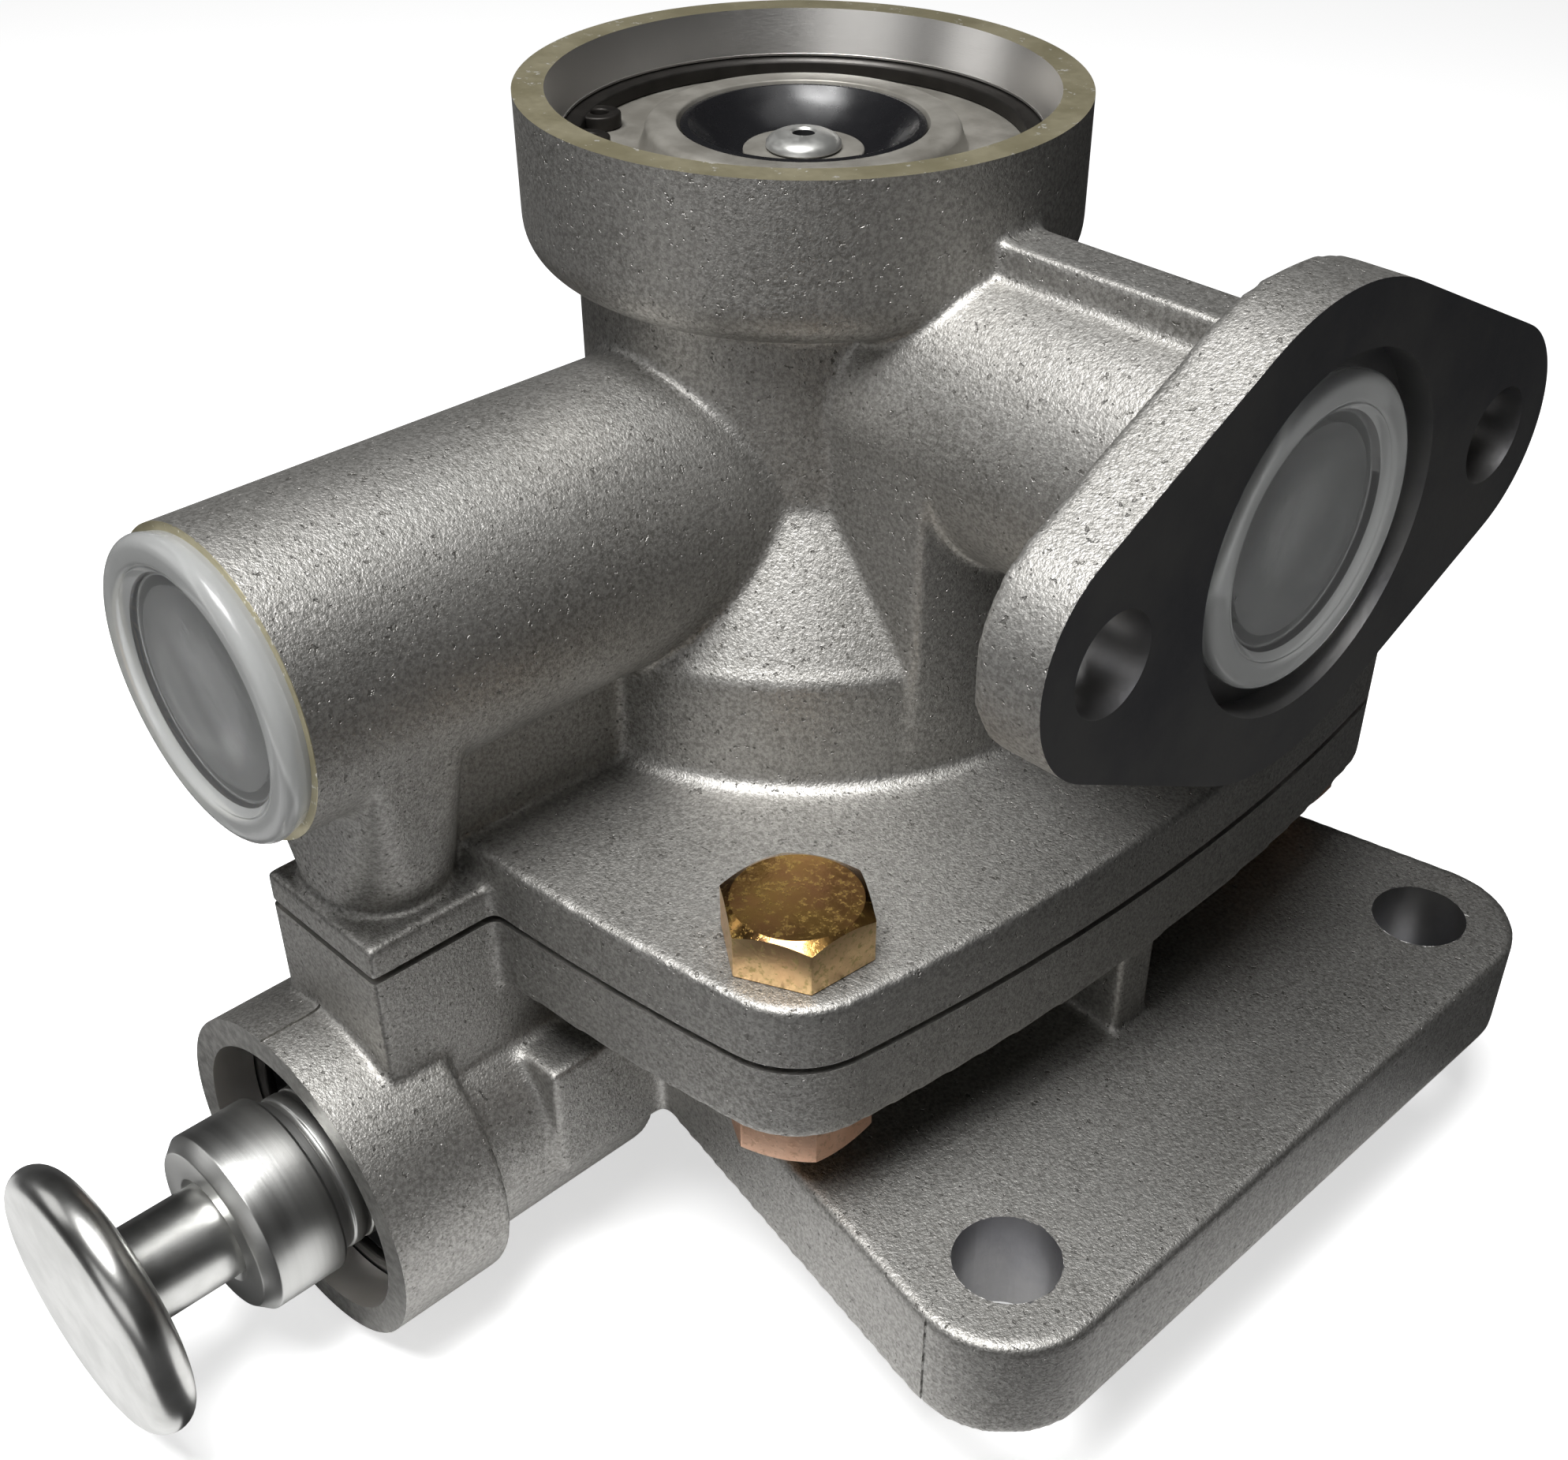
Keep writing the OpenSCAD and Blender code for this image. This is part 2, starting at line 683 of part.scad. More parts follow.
module relay_piston() {
    r = relay_bore_r - fit;
    z1 = piston_z0 + piston_t;
    color("#a9aaa8")
    difference() {
        rotate_extrude($fn = 96)
            polygon([[0, piston_z0 + 3], [r - 7, piston_z0 + 3], [r - 5, piston_z0], [r, piston_z0],
                     [r, z1], [rod_r + 5, z1], [rod_r, z1 + 3],
                     [rod_r, valve_z - relay_travel + inlet_travel - rest_gap],
                     [rod_r - 1.2, valve_z - relay_travel + inlet_travel - rest_gap],
                     [rod_r - 1.2, z1 + 1], [0, z1 + 1]]);
        ring_groove(r, piston_z0 + piston_t / 2 + 0.5);
    }
}

// Groove for a rubber ring in a piston of radius r, centred at the height z
module ring_groove(r, z) {
    ring(r + 1, r - groove_d, z - groove_w / 2, z + groove_w / 2);
}

module relay_piston_ring() {
    color("#19191a")
    translate([0, 0, piston_z0 + piston_t / 2 + 0.5]) o_ring(relay_bore_r - fit - cord, cord - 0.05);
}

// Emergency piston below a partition disc that the two castings clamp

disc_r = 30.5;
disc_t = 2.5;
disc_z = split_z - disc_t;
emergency_t = 6;
emergency_z = cavity_floor_z + rest_gap;
emergency_top_z = emergency_z + emergency_t;
check_r = 8;
check_step = 2.5;
check_z = emergency_z + check_step;
check_t = 1.6;
emergency_spring_r = 14;
check_spring_r = 5;

module partition_disc() {
    color("#a9aaa8")
    difference() {
        translate([0, 0, disc_z]) cylinder(r = disc_r - fit, h = disc_t, $fn = 96);
        translate([0, 0, disc_z - 1]) cylinder(r = 3, h = disc_t + 2, $fn = 32);
        // Air holes near the rim
        for (a = [0:60:300])
            rotate(a) translate([18.5, 0, disc_z - 1]) cylinder(r = 1.5, h = disc_t + 2, $fn = 24);
    }
}

module emergency_piston() {
    r = emergency_bore_r - fit;
    color("#a9aaa8")
    difference() {
        rotate_extrude($fn = 96)
            polygon([[4, emergency_z], [r, emergency_z], [r, emergency_top_z],
                     [check_r + 3, emergency_top_z], [check_r + 2.2, emergency_top_z + 2.5],
                     [check_r + 0.3, emergency_top_z + 2.5], [check_r + 0.3, check_z - rest_gap],
                     [4, check_z - rest_gap]]);
        ring_groove(r, emergency_z + emergency_t / 2);
    }
}

module emergency_piston_ring() {
    color("#19191a")
    translate([0, 0, emergency_z + emergency_t / 2]) o_ring(emergency_bore_r - fit - cord, cord - 0.05);
}

module emergency_spring() {
    color("#8f9194")
    coil_spring(emergency_spring_r, 0.8, emergency_top_z + 0.05, disc_z - 0.05, 3);
}

module check_valve() {
    color("#19191a")
    translate([0, 0, check_z]) cylinder(r = check_r, h = check_t, $fn = 48);
}

module check_valve_spring() {
    color("#8f9194")
    coil_spring(check_spring_r, 0.4, check_z + check_t + 0.05, disc_z - 0.05, 4);
}

// Release valve: plunger, knob and ring move together along Y

release_snap_t = 1.2;
snap_depth = 1;
spool_r = spool_bore_r - fit;
spool_end = 48.5;
spool_bore_end = spool_end - release_travel - 1;
neck_end = 60;
neck_bore_end = neck_end - release_travel - 0.5;
neck_bore_r = plunger_neck_r + 0.6;
plunger_back = bushing_front + rest_gap + release_travel;
plunger_front = plunger_back + plunger_head;

module release_plunger() {
    color("#cfd0cf")
    difference() {
        along_front(release_z)
            rotate_extrude($fn = 64)
                polygon([[0, spool_end], [spool_r - 0.6, spool_end], [spool_r, spool_end + 0.6],
                         [spool_r, neck_end], [plunger_neck_r - 0.5, neck_end],
                         [plunger_neck_r, neck_end + 0.5], [plunger_neck_r, plunger_back],
                         [plunger_r, plunger_back], [plunger_r, plunger_front - 0.7],
                         [plunger_r - 0.7, plunger_front], [0, plunger_front]]);
        along_front(release_z) ring_groove(spool_r, spool_end + 3);
        // Blind hole that the knob's stem is pressed into, with a bevelled mouth
        along_front(release_z)
            translate([0, 0, plunger_front - 6]) cylinder(r = stem_r - 1, h = 7, $fn = 48);
        along_front(release_z)
            translate([0, 0, plunger_front - 0.8]) cylinder(r = stem_r + 0.7, h = 2, $fn = 48);
    }
}

module release_knob() {
    back = knob_front - knob_t;
    color("#d2d3d1")
    along_front(release_z)
        rotate_extrude($fn = 96)
            polygon(concat(
                [[0, plunger_front - 5.8], [stem_r - 1, plunger_front - 5.8],
                 [stem_r - 1, plunger_front - 0.8], [stem_r, plunger_front - 0.8],
                 [stem_r, back - 1.6], [stem_r + 0.5, back - 0.4], [stem_r + 1.6, back]],
                arc([knob_r - knob_t / 2, knob_front - knob_t / 2], knob_t / 2, -80, 80, 10),
                [[0, knob_front]]));
}

module release_o_ring() {
    color("#19191a")
    along_front(release_z) translate([0, 0, spool_end + 3]) o_ring(spool_r - cord, cord - 0.05);
}

// Bushing that guides the plunger and stops its head, held by a snap ring

module release_bushing() {
    color("#2b2c2d")
    difference() {
        along_front(release_z)
            ring(barrel_bore_r - fit, plunger_neck_r + fit, barrel_floor, bushing_front);
        along_front(release_z)
            ring(plunger_neck_r + groove_d, 1, neck_end + 1.4, neck_end + 1.4 + groove_w);
    }
}

module bushing_o_ring() {
    color("#19191a")
    along_front(release_z)
        translate([0, 0, neck_end + 1.4 + groove_w / 2]) o_ring(plunger_neck_r + fit + cord, cord - 0.05);
}

module release_snap_ring() {
    gap = 40;
    color("#3c3c3d")
    along_front(release_z)
        translate([0, 0, bushing_front + rest_gap / 2 + 0.05])
            rotate(90 + gap / 2)
                rotate_extrude(angle = 360 - gap, $fn = 96)
                    translate([barrel_bore_r - 1.9, 0])
                        square([1.9 + snap_depth - 0.1, release_snap_t - 0.1]);
}

// Ports

strainer_r = 9.5;
strainer_h = 8;

// Push-in cap: a flanged cup with a dished face, whose plug points along -Z
module port_cap() {
    floor_z = cap_t - cap_dish_d;
    plug_r = port_r - 0.3;
    rotate_extrude($fn = 64)
        polygon(concat(
            [[0, floor_z], [cap_dish_r - 0.5, floor_z], [cap_dish_r, cap_t]],
            arc([cap_r - 0.7, cap_t - 0.7], 0.7, 90, 0, 4),
            [[cap_r, 0], [plug_r, 0], [plug_r - 0.3, -cap_plug],
             [plug_r - 0.3 - cap_wall, -cap_plug], [plug_r - cap_wall, floor_z - cap_wall],
             [0, floor_z - cap_wall]]));
}

module left_port_cap() {
    color("#d9dcdb", 0.8)
    along_front(left_z) translate([0, 0, left_end]) port_cap();
}

module right_port_cap() {
    color("#d9dcdb", 0.8)
    along_right(right_z) translate([0, 0, right_face - recess_d]) port_cap();
}

module rear_port_cap() {
    color("#d9dcdb", 0.8)
    along_rear(rear_port_z) translate([0, 0, rear_port_end]) port_cap();
}

module port_strainer() {
    x0 = right_face - recess_d - port_depth - strainer_h;
    color("#9b9a94")
    along_right(right_z) {
        ring(strainer_r - fit, strainer_r - 1.2, x0, x0 + strainer_h - 0.5);
        translate([0, 0, x0]) cylinder(r = strainer_r - 0.8, h = 1, $fn = 48);
    }
}

upper_housing();
lower_housing();
housing_gasket();
flange_bolts();
flange_nuts();
exhaust_guide();
guide_o_ring();
guide_snap_ring();
exhaust_flap();
flap_washer();
flap_stud();
inlet_valve();
inlet_valve_rubber();
inlet_valve_spring();
relay_piston();
relay_piston_ring();
partition_disc();
emergency_piston();
emergency_piston_ring();
emergency_spring();
check_valve();
check_valve_spring();
release_plunger();
release_knob();
release_o_ring();
release_bushing();
bushing_o_ring();
release_snap_ring();
left_port_cap();
right_port_cap();
rear_port_cap();
port_strainer();
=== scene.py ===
import math

import bpy
from mathutils import Matrix, Vector


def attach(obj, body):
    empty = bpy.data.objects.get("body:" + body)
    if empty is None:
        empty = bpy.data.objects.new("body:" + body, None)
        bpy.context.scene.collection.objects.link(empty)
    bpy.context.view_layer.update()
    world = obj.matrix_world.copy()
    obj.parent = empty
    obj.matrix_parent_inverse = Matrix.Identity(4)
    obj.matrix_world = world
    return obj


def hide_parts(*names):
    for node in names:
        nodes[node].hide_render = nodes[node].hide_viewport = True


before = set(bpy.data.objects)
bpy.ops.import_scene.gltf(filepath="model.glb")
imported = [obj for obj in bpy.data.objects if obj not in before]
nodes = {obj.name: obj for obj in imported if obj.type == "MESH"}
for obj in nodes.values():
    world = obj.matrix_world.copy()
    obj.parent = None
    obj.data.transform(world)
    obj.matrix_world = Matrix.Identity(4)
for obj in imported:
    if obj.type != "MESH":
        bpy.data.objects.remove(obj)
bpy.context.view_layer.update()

# Camera and studio
# The valve stands on its release barrel on a white floor, under a soft box from above and a faint
# one from the left. The camera looks down on the corner between the left and the flanged port.
MM = 0.001
FLOOR_Z = -17.2
IMAGE_WIDTH, IMAGE_HEIGHT = 1988, 1851
FOCAL_LENGTH = 2492.77
CENTRE_X, CENTRE_Y = 1045.69, 1083.51
SENSOR = 36

azimuth, elevation, roll = (math.radians(a) for a in (44.67, 38.09, 0.59))
back = Vector((math.sin(azimuth) * math.cos(elevation),
               -math.cos(azimuth) * math.cos(elevation), math.sin(elevation)))
right = Vector((math.cos(azimuth), math.sin(azimuth), 0))
up = back.cross(right)
image_right = right * math.cos(roll) + up * math.sin(roll)
image_up = up * math.cos(roll) - right * math.sin(roll)
camera_data = bpy.data.cameras.new("camera")
camera_data.sensor_width = SENSOR
camera_data.lens = FOCAL_LENGTH / IMAGE_WIDTH * SENSOR
camera_data.shift_x = (IMAGE_WIDTH / 2 - CENTRE_X) / IMAGE_WIDTH
camera_data.shift_y = (CENTRE_Y - IMAGE_HEIGHT / 2) / IMAGE_WIDTH
camera_data.clip_start = 0.01
camera = bpy.data.objects.new("camera", camera_data)
axes = Matrix((image_right, image_up, back)).transposed()
camera.matrix_world = Matrix.Translation(Vector((136.64, -134.32, 155.47)) * MM) @ axes.to_4x4()
bpy.context.scene.collection.objects.link(camera)
bpy.context.scene.camera = camera
bpy.context.scene.view_settings.view_transform = "Standard"


def soft_box(name, place, aim, size, watts):
    """A square lamp at place that faces aim, both in mm."""
    lamp_data = bpy.data.lights.new(name, "AREA")
    lamp_data.size = size * MM
    lamp_data.energy = watts
    lamp = bpy.data.objects.new(name, lamp_data)
    lamp.location = Vector(place) * MM
    lamp.rotation_euler = (Vector(place) - Vector(aim)).to_track_quat("Z", "Y").to_euler()
    bpy.context.scene.collection.objects.link(lamp)


soft_box("top_box", (60, -180, 500), (0, -10, 30), 240, 3.9)
soft_box("left_box", (-330, -330, 260), (0, -20, 40), 260, 0.25)


class Shade:
    """A socket in a material's node tree, with arithmetic on it."""

    def __init__(self, tree, socket=None):
        self.tree = tree
        self.socket = socket

    def node(self, kind, settings=None, inputs=None, output=0):
        new = self.tree.nodes.new("ShaderNode" + kind)
        for key, value in (settings or {}).items():
            setattr(new, key, value)
        for key, value in (inputs or {}).items():
            if isinstance(value, Shade):
                self.tree.links.new(value.socket, new.inputs[key])
            else:
                new.inputs[key].default_value = value
        return Shade(self.tree, new.outputs[output])

    def math(self, operation, *values):
        return self.node("Math", {"operation": operation}, dict(enumerate(values)))

    def __add__(self, other):
        return self.math("ADD", self, other)

    __radd__ = __add__

    def __sub__(self, other):
        return self.math("SUBTRACT", self, other)

    def __rsub__(self, other):
        return self.math("SUBTRACT", other, self)

    def __mul__(self, other):
        return self.math("MULTIPLY", self, other)

    __rmul__ = __mul__

    def step(self, low, high):
        """0 below low, 1 above high, smooth between them."""
        return self.node("MapRange", {"interpolation_type": "SMOOTHSTEP"},
                         {"Value": self, "From Min": low, "From Max": high})

    def mix(self, first, second):
        """The first colour where this is 0, the second where it is 1."""
        return self.node("Mix", {"data_type": "RGBA"}, {0: self, 6: first, 7: second}, 2)

    def noise(self, scale, detail=3, roughness=0.55):
        """Noise over the vector that this holds, scale bumps to the metre."""
        return self.node("TexNoise", {}, {"Vector": self, "Scale": scale, "Detail": detail,
                                          "Roughness": roughness})

    def axis(self, name):
        return self.node("SeparateXYZ", {}, {0: self}, "XYZ".index(name))

    def stretch(self, x, y, z):
        return self.node("Mapping", {}, {"Vector": self, "Scale": (x, y, z)})


def material(name):
    """A new material, its Principled shader, and its Object coordinates."""
    made = bpy.data.materials.new(name)
    made.use_nodes = True
    shader = made.node_tree.nodes["Principled BSDF"]
    place = Shade(made.node_tree).node("TexCoord", {}, {}, 3)
    return made, shader, place


def feed(made, shader, **inputs):
    """Sets or links the shader's sockets, named with underscores for spaces."""
    for key, value in inputs.items():
        socket = shader.inputs[key.replace("_", " ")]
        if isinstance(value, Shade):
            made.node_tree.links.new(value.socket, socket)
        else:
            socket.default_value = value


sweep_material, sweep_shader, sweep_place = material("studio_sweep")
by_camera = sweep_place.node("LightPath")
feed(sweep_material, sweep_shader, Base_Color=(0.93, 0.93, 0.93, 1), Roughness=0.9,
     Specular_IOR_Level=0.1, Emission_Color=(1, 1, 1, 1), Emission_Strength=by_camera * 0.62)
bpy.ops.mesh.primitive_plane_add(size=6, location=(0, 0, FLOOR_Z * MM))
sweep = bpy.context.object
sweep.name = "studio_floor"
sweep.data.materials.append(sweep_material)

# A dark tent round the table is seen by reflections only. It gives the bare metal its dark sides,
# and leaves the white floor near the valve and an opening overhead.
UNSEEN_RAYS = ("camera", "diffuse", "shadow", "transmission", "volume_scatter")
tent_material, tent_shader, tent_place = material("studio_tent")
feed(tent_material, tent_shader, Base_Color=(0.03, 0.03, 0.031, 1), Roughness=1.0)
bpy.ops.mesh.primitive_circle_add(vertices=48, radius=0.082,
                                  location=(0.012, -0.004, (FLOOR_Z + 1) * MM))
tent = bpy.context.object
tent.name = "studio_tent"
bpy.ops.object.mode_set(mode="EDIT")
for spread, rise in ((13, 0), (1.15, 0.5), (0.9, 0.4), (0.6, 0.25), (0.7, 0.05)):
    bpy.ops.mesh.extrude_region_move(TRANSFORM_OT_translate={"value": (0, 0, rise)})
    bpy.ops.transform.resize(value=(spread, spread, 1), center_override=(0, 0, 0))
bpy.ops.object.mode_set(mode="OBJECT")
tent.data.materials.append(tent_material)
for ray in UNSEEN_RAYS:
    setattr(tent, "visible_" + ray, False)

# Two white cards, also seen by reflections only: one at the front left for the cup's bright bore,
# one on the table under the release knob.
card_material, card_shader, card_place = material("studio_card")
feed(card_material, card_shader, Base_Color=(0, 0, 0, 1), Emission_Color=(1, 1, 1, 1),
     Emission_Strength=1.0)
card_way = Vector((0.31, -0.93, 0.16))
for number, (place, size, turn) in enumerate((
        (card_way * 0.8, (0.6, 0.42), card_way.to_track_quat("Z", "Y").to_euler()),
        ((-0.03, -0.125, (FLOOR_Z + 2) * MM), (0.09, 0.06), (0, 0, 0))), 1):
    bpy.ops.mesh.primitive_plane_add(size=1, location=place, rotation=turn)
    card = bpy.context.object
    card.name = f"studio_card_{number}"
    card.scale = (*size, 1)
    card.data.materials.append(card_material)
    for ray in UNSEEN_RAYS:
        setattr(card, "visible_" + ray, False)

world = bpy.data.worlds.new("studio_world")
bpy.context.scene.world = world
world.use_nodes = True
sky = world.node_tree.nodes["Background"]
sky.inputs["Color"].default_value = (1, 1, 1, 1)
shade = Shade(world.node_tree)
rays = world.node_tree.nodes.new("ShaderNodeLightPath")
camera_ray, glossy_ray, through_ray = (
    Shade(world.node_tree, rays.outputs[f"Is {kind} Ray"]) for kind in ("Camera", "Glossy", "Transmission"))
seen = shade.math("MAXIMUM", camera_ray, shade.math("MAXIMUM", glossy_ray, through_ray))
world.node_tree.links.new((0.06 + 0.94 * seen).socket, sky.inputs["Strength"])

# Castings
# Both halves of the body are aluminium cast in sand and shot-blasted, then machined where
# they seal: the joint face, the cup, the bores and the holes.


def clear():
    """Leaves any edit mode and deselects everything."""
    if bpy.context.object and bpy.context.object.mode != "OBJECT":
        bpy.ops.object.mode_set(mode="OBJECT")
    bpy.ops.object.select_all(action="DESELECT")


def alone(piece):
    """Makes piece the only object selected, and the active one."""
    clear()
    piece.select_set(True)
    bpy.context.view_layer.objects.active = piece


def settle(piece, turn=None):
    """Applies a piece's place, with an optional turn about the origin first."""
    alone(piece)
    bpy.ops.object.transform_apply(location=True, rotation=True, scale=True)
    if turn:
        piece.rotation_euler = turn
        bpy.ops.object.transform_apply(location=False, rotation=True, scale=False)


def finish_with(piece, kind, **settings):
    """Adds a modifier of a kind to piece and applies it."""
    alone(piece)
    modifier = piece.modifiers.new(kind.lower(), kind)
    for key, value in settings.items():
        setattr(modifier, key, value)
    bpy.ops.object.modifier_apply(modifier=modifier.name)


FACING = {"+X": (0, math.pi / 2, 0), "-Y": (math.pi / 2, 0, 0), "+Y": (-math.pi / 2, 0, 0),
          "+Z": (0, 0, 0)}
ALONG = {"+X": Vector((1, 0, 0)), "-Y": Vector((0, -1, 0)), "+Y": Vector((0, 1, 0)),
         "+Z": Vector((0, 0, 1))}


def rod(facing, at, radius, start, end, tip=None, sides=96):
    """A round bar that runs from start to end along an axis of the frame. tip is the end's radius."""
    clear()
    middle = (Vector(at) + ALONG[facing] * (start + end) / 2) * MM
    bpy.ops.mesh.primitive_cone_add(vertices=sides, radius1=radius * MM,
                                    radius2=(radius if tip is None else tip) * MM,
                                    depth=(end - start) * MM, location=middle, rotation=FACING[facing])
    piece = bpy.context.object
    settle(piece)
    return piece


def copy_of(node, name):
    """A copy of a CAD node's mesh with its loose triangles merged."""
    piece = bpy.data.objects.new(name, nodes[node].data.copy())
    bpy.context.scene.collection.objects.link(piece)
    piece.data.materials.clear()
    alone(piece)
    bpy.ops.object.mode_set(mode="EDIT")
    bpy.ops.mesh.select_all(action="SELECT")
    bpy.ops.mesh.remove_doubles(threshold=1e-6)
    bpy.ops.object.mode_set(mode="OBJECT")
    return piece


def grow_end(piece, axis, level, step):
    """Moves the flat end of a blank at a level along its axis, both in mm."""
    alone(piece)
    index = "XYZ".index(axis)
    bpy.ops.object.mode_set(mode="EDIT")
    bpy.ops.mesh.select_mode(type="VERT")
    bpy.ops.mesh.select_all(action="DESELECT")
    bpy.ops.object.mode_set(mode="OBJECT")
    for vertex in piece.data.vertices:
        vertex.select = abs(vertex.co[index] - level * MM) < 1e-5
    bpy.ops.object.mode_set(mode="EDIT")
    move = [0, 0, 0]
    move[index] = step * MM
    bpy.ops.transform.translate(value=move)
    bpy.ops.object.mode_set(mode="OBJECT")


def turned(name, facing, at, profile, ease=0.2, sides=96, angle=360, start=0):
    """A lathe part: a closed outline of (radius, height) in mm, spun about an axis of the frame."""
    clear()
    bpy.ops.mesh.primitive_plane_add(size=MM)
    piece = bpy.context.object
    piece.name = name
    bpy.ops.object.mode_set(mode="EDIT")
    bpy.ops.mesh.merge(type="CENTER")
    bpy.ops.transform.translate(value=(profile[0][0] * MM, 0, profile[0][1] * MM))
    for (radius, height), (next_radius, next_height) in zip(profile, profile[1:] + profile[:1]):
        step = ((next_radius - radius) * MM, 0, (next_height - height) * MM)
        bpy.ops.mesh.extrude_vertices_move(TRANSFORM_OT_translate={"value": step})
    bpy.ops.mesh.select_all(action="SELECT")
    bpy.ops.mesh.remove_doubles(threshold=1e-7)
    if start:
        bpy.ops.transform.rotate(value=-math.radians(start), orient_axis="Z", center_override=(0, 0, 0))
    bpy.ops.mesh.spin(steps=sides, angle=math.radians(angle), center=(0, 0, 0), axis=(0, 0, 1))
    bpy.ops.mesh.select_all(action="SELECT")
    bpy.ops.mesh.remove_doubles(threshold=1e-7)
    if angle < 360:
        bpy.ops.mesh.select_all(action="DESELECT")
        bpy.ops.mesh.select_non_manifold()
        bpy.ops.mesh.fill_holes(sides=0)
        bpy.ops.mesh.select_all(action="SELECT")
    bpy.ops.mesh.normals_make_consistent(inside=False)
    bpy.ops.object.mode_set(mode="OBJECT")
    piece.rotation_euler = FACING[facing]
    piece.location = Vector(at) * MM
    settle(piece)
    if ease:
        finish_with(piece, "BEVEL", width=ease * MM, segments=3, limit_method="ANGLE",
                    angle_limit=math.radians(25))
    bpy.ops.object.shade_smooth_by_angle(angle=math.radians(35))
    return piece


def arc(centre, radius, first, last, count=8):
    """Points of an arc in a lathe outline, angles in degrees from the radius direction."""
    return [(centre[0] + radius * math.cos(math.radians(first + (last - first) * i / count)),
             centre[1] + radius * math.sin(math.radians(first + (last - first) * i / count)))
            for i in range(count + 1)]


def bar(at, size):
    """A rectangular block with its middle at a place, both in mm."""
    clear()
    bpy.ops.mesh.primitive_cube_add(size=1, location=Vector(at) * MM, scale=Vector(size) * MM)
    block = bpy.context.object
    settle(block)
    return block


def cast(piece, plugs, ends, grain=0.45, ease=9, faces=0.34):
    """Fills a blank with plugs, lengthens the ends that are machined, and softens every edge."""
    clear()
    for plug in plugs:
        plug.select_set(True)
    piece.select_set(True)
    bpy.context.view_layer.objects.active = piece
    bpy.ops.object.join()
    for axis, level, step in ends:
        grow_end(piece, axis, level, step)
    finish_with(piece, "REMESH", mode="VOXEL", voxel_size=grain * MM)
    finish_with(piece, "SMOOTH", factor=0.5, iterations=ease)
    finish_with(piece, "DECIMATE", ratio=faces)


def machine(piece, cutters):
    """Cuts each tool's shape out of a casting, and removes the tool."""
    for tool in cutters:
        finish_with(piece, "BOOLEAN", operation="DIFFERENCE", object=tool, solver="MANIFOLD")
        bpy.data.objects.remove(tool)
    piece.data.materials.clear()


def paint(piece, slot, chosen):
    """Gives a slot's material to the faces that chosen picks by their centre, in mm, and normal."""
    for face in piece.data.polygons:
        if chosen(face.center / MM, face.normal):
            face.material_index = slot


def wear(piece, spread):
    """Stores a colour attribute that is higher along outer edges than on flat stretches."""
    alone(piece)
    piece.data.color_attributes.new("wear", "FLOAT_COLOR", "POINT")
    bpy.ops.object.mode_set(mode="VERTEX_PAINT")
    bpy.ops.paint.vertex_color_dirt(blur_strength=1, blur_iterations=spread, normalize=False)
    bpy.ops.object.mode_set(mode="OBJECT")


BOLT = 39.5
SPLIT = 31.4
UPPER_Z = 32.2
PORT_BORE = 11
EDGE_ANGLE = math.radians(48)


def four(radius, start, end):
    """Four bars where the flange bolts stand."""
    return [rod("+Z", (x, y, 0), radius, start, end, sides=32)
            for x in (-BOLT, BOLT) for y in (-BOLT, BOLT)]


cast_material, cast_shader, cast_place = material("cast_aluminium")


def burr(place):
    """1 in short stretches along a casting's edges, from the attribute that wear() stores."""
    worn = place.node("Attribute", {"attribute_name": "wear"}, {}, 0).axis("X").step(0.125, 0.16)
    return worn * place.noise(1300, 3, 0.7).step(0.46, 0.6)


grit = cast_place.noise(3800, 2, 0.65)
pits = cast_place.noise(1900, 3, 0.6)
cloud = cast_place.noise(70, 4, 0.55)
grain = cast_place.noise(2300, 5, 0.75).step(0.34, 0.66)
hole = cast_place.noise(1500, 2, 0.5).step(0.66, 0.72)
tone = cloud.step(0.3, 0.7).mix((0.22, 0.214, 0.198, 1), (0.28, 0.273, 0.257, 1))
tone = (grain * 0.8).mix(tone, (0.53, 0.518, 0.496, 1))
tone = (hole * 0.6).mix(tone, (0.1, 0.095, 0.085, 1))
tone = burr(cast_place).mix(tone, (0.88, 0.87, 0.85, 1))
surface = cast_place.node("Bump", {}, {"Strength": 1.0, "Distance": 0.00007,
                                       "Height": grit * 0.7 + pits * 0.6 - hole * 1.5 + burr(cast_place)})
feed(cast_material, cast_shader, Base_Color=tone, Roughness=0.46 + 0.1 * grit, Metallic=0.93,
     Normal=surface)

turned_material, turned_shader, turned_place = material("machined_face")
rings = turned_place.stretch(1, 1, 30).noise(900, 3)
feed(turned_material, turned_shader, Base_Color=(0.8, 0.78, 0.75, 1), Roughness=0.24 + 0.16 * rings,
     Metallic=1.0, Normal=turned_place.node("Bump", {}, {"Strength": 0.3, "Distance": 0.00003,
                                                         "Height": rings}))

milled_material, milled_shader, milled_place = material("milled_face")
sweeps = milled_place.stretch(1, 1, 0.15).noise(1600, 3)
dust = milled_place.noise(2600, 2, 0.7)
film = milled_place.noise(60, 4)
milled_tone = film.step(0.3, 0.7).mix((0.2, 0.2, 0.215, 1), (0.3, 0.295, 0.29, 1))
feed(milled_material, milled_shader, Base_Color=milled_tone,
     Roughness=0.3 + 0.2 * dust, Metallic=0.95,
     Normal=milled_place.node("Bump", {}, {"Strength": 0.35, "Distance": 0.00004,
                                           "Height": sweeps * 0.5 + dust * 0.5}))

faced_material, faced_shader, faced_place = material("faced_aluminium")
blotch = faced_place.noise(900, 4, 0.65)
faced_tone = blotch.step(0.3, 0.7).mix((0.2, 0.196, 0.185, 1), (0.36, 0.353, 0.335, 1))
feed(faced_material, faced_shader, Base_Color=faced_tone,
     Roughness=0.4 + 0.2 * blotch, Metallic=0.9,
     Normal=faced_place.node("Bump", {}, {"Strength": 0.6, "Distance": 0.00005, "Height": blotch}))

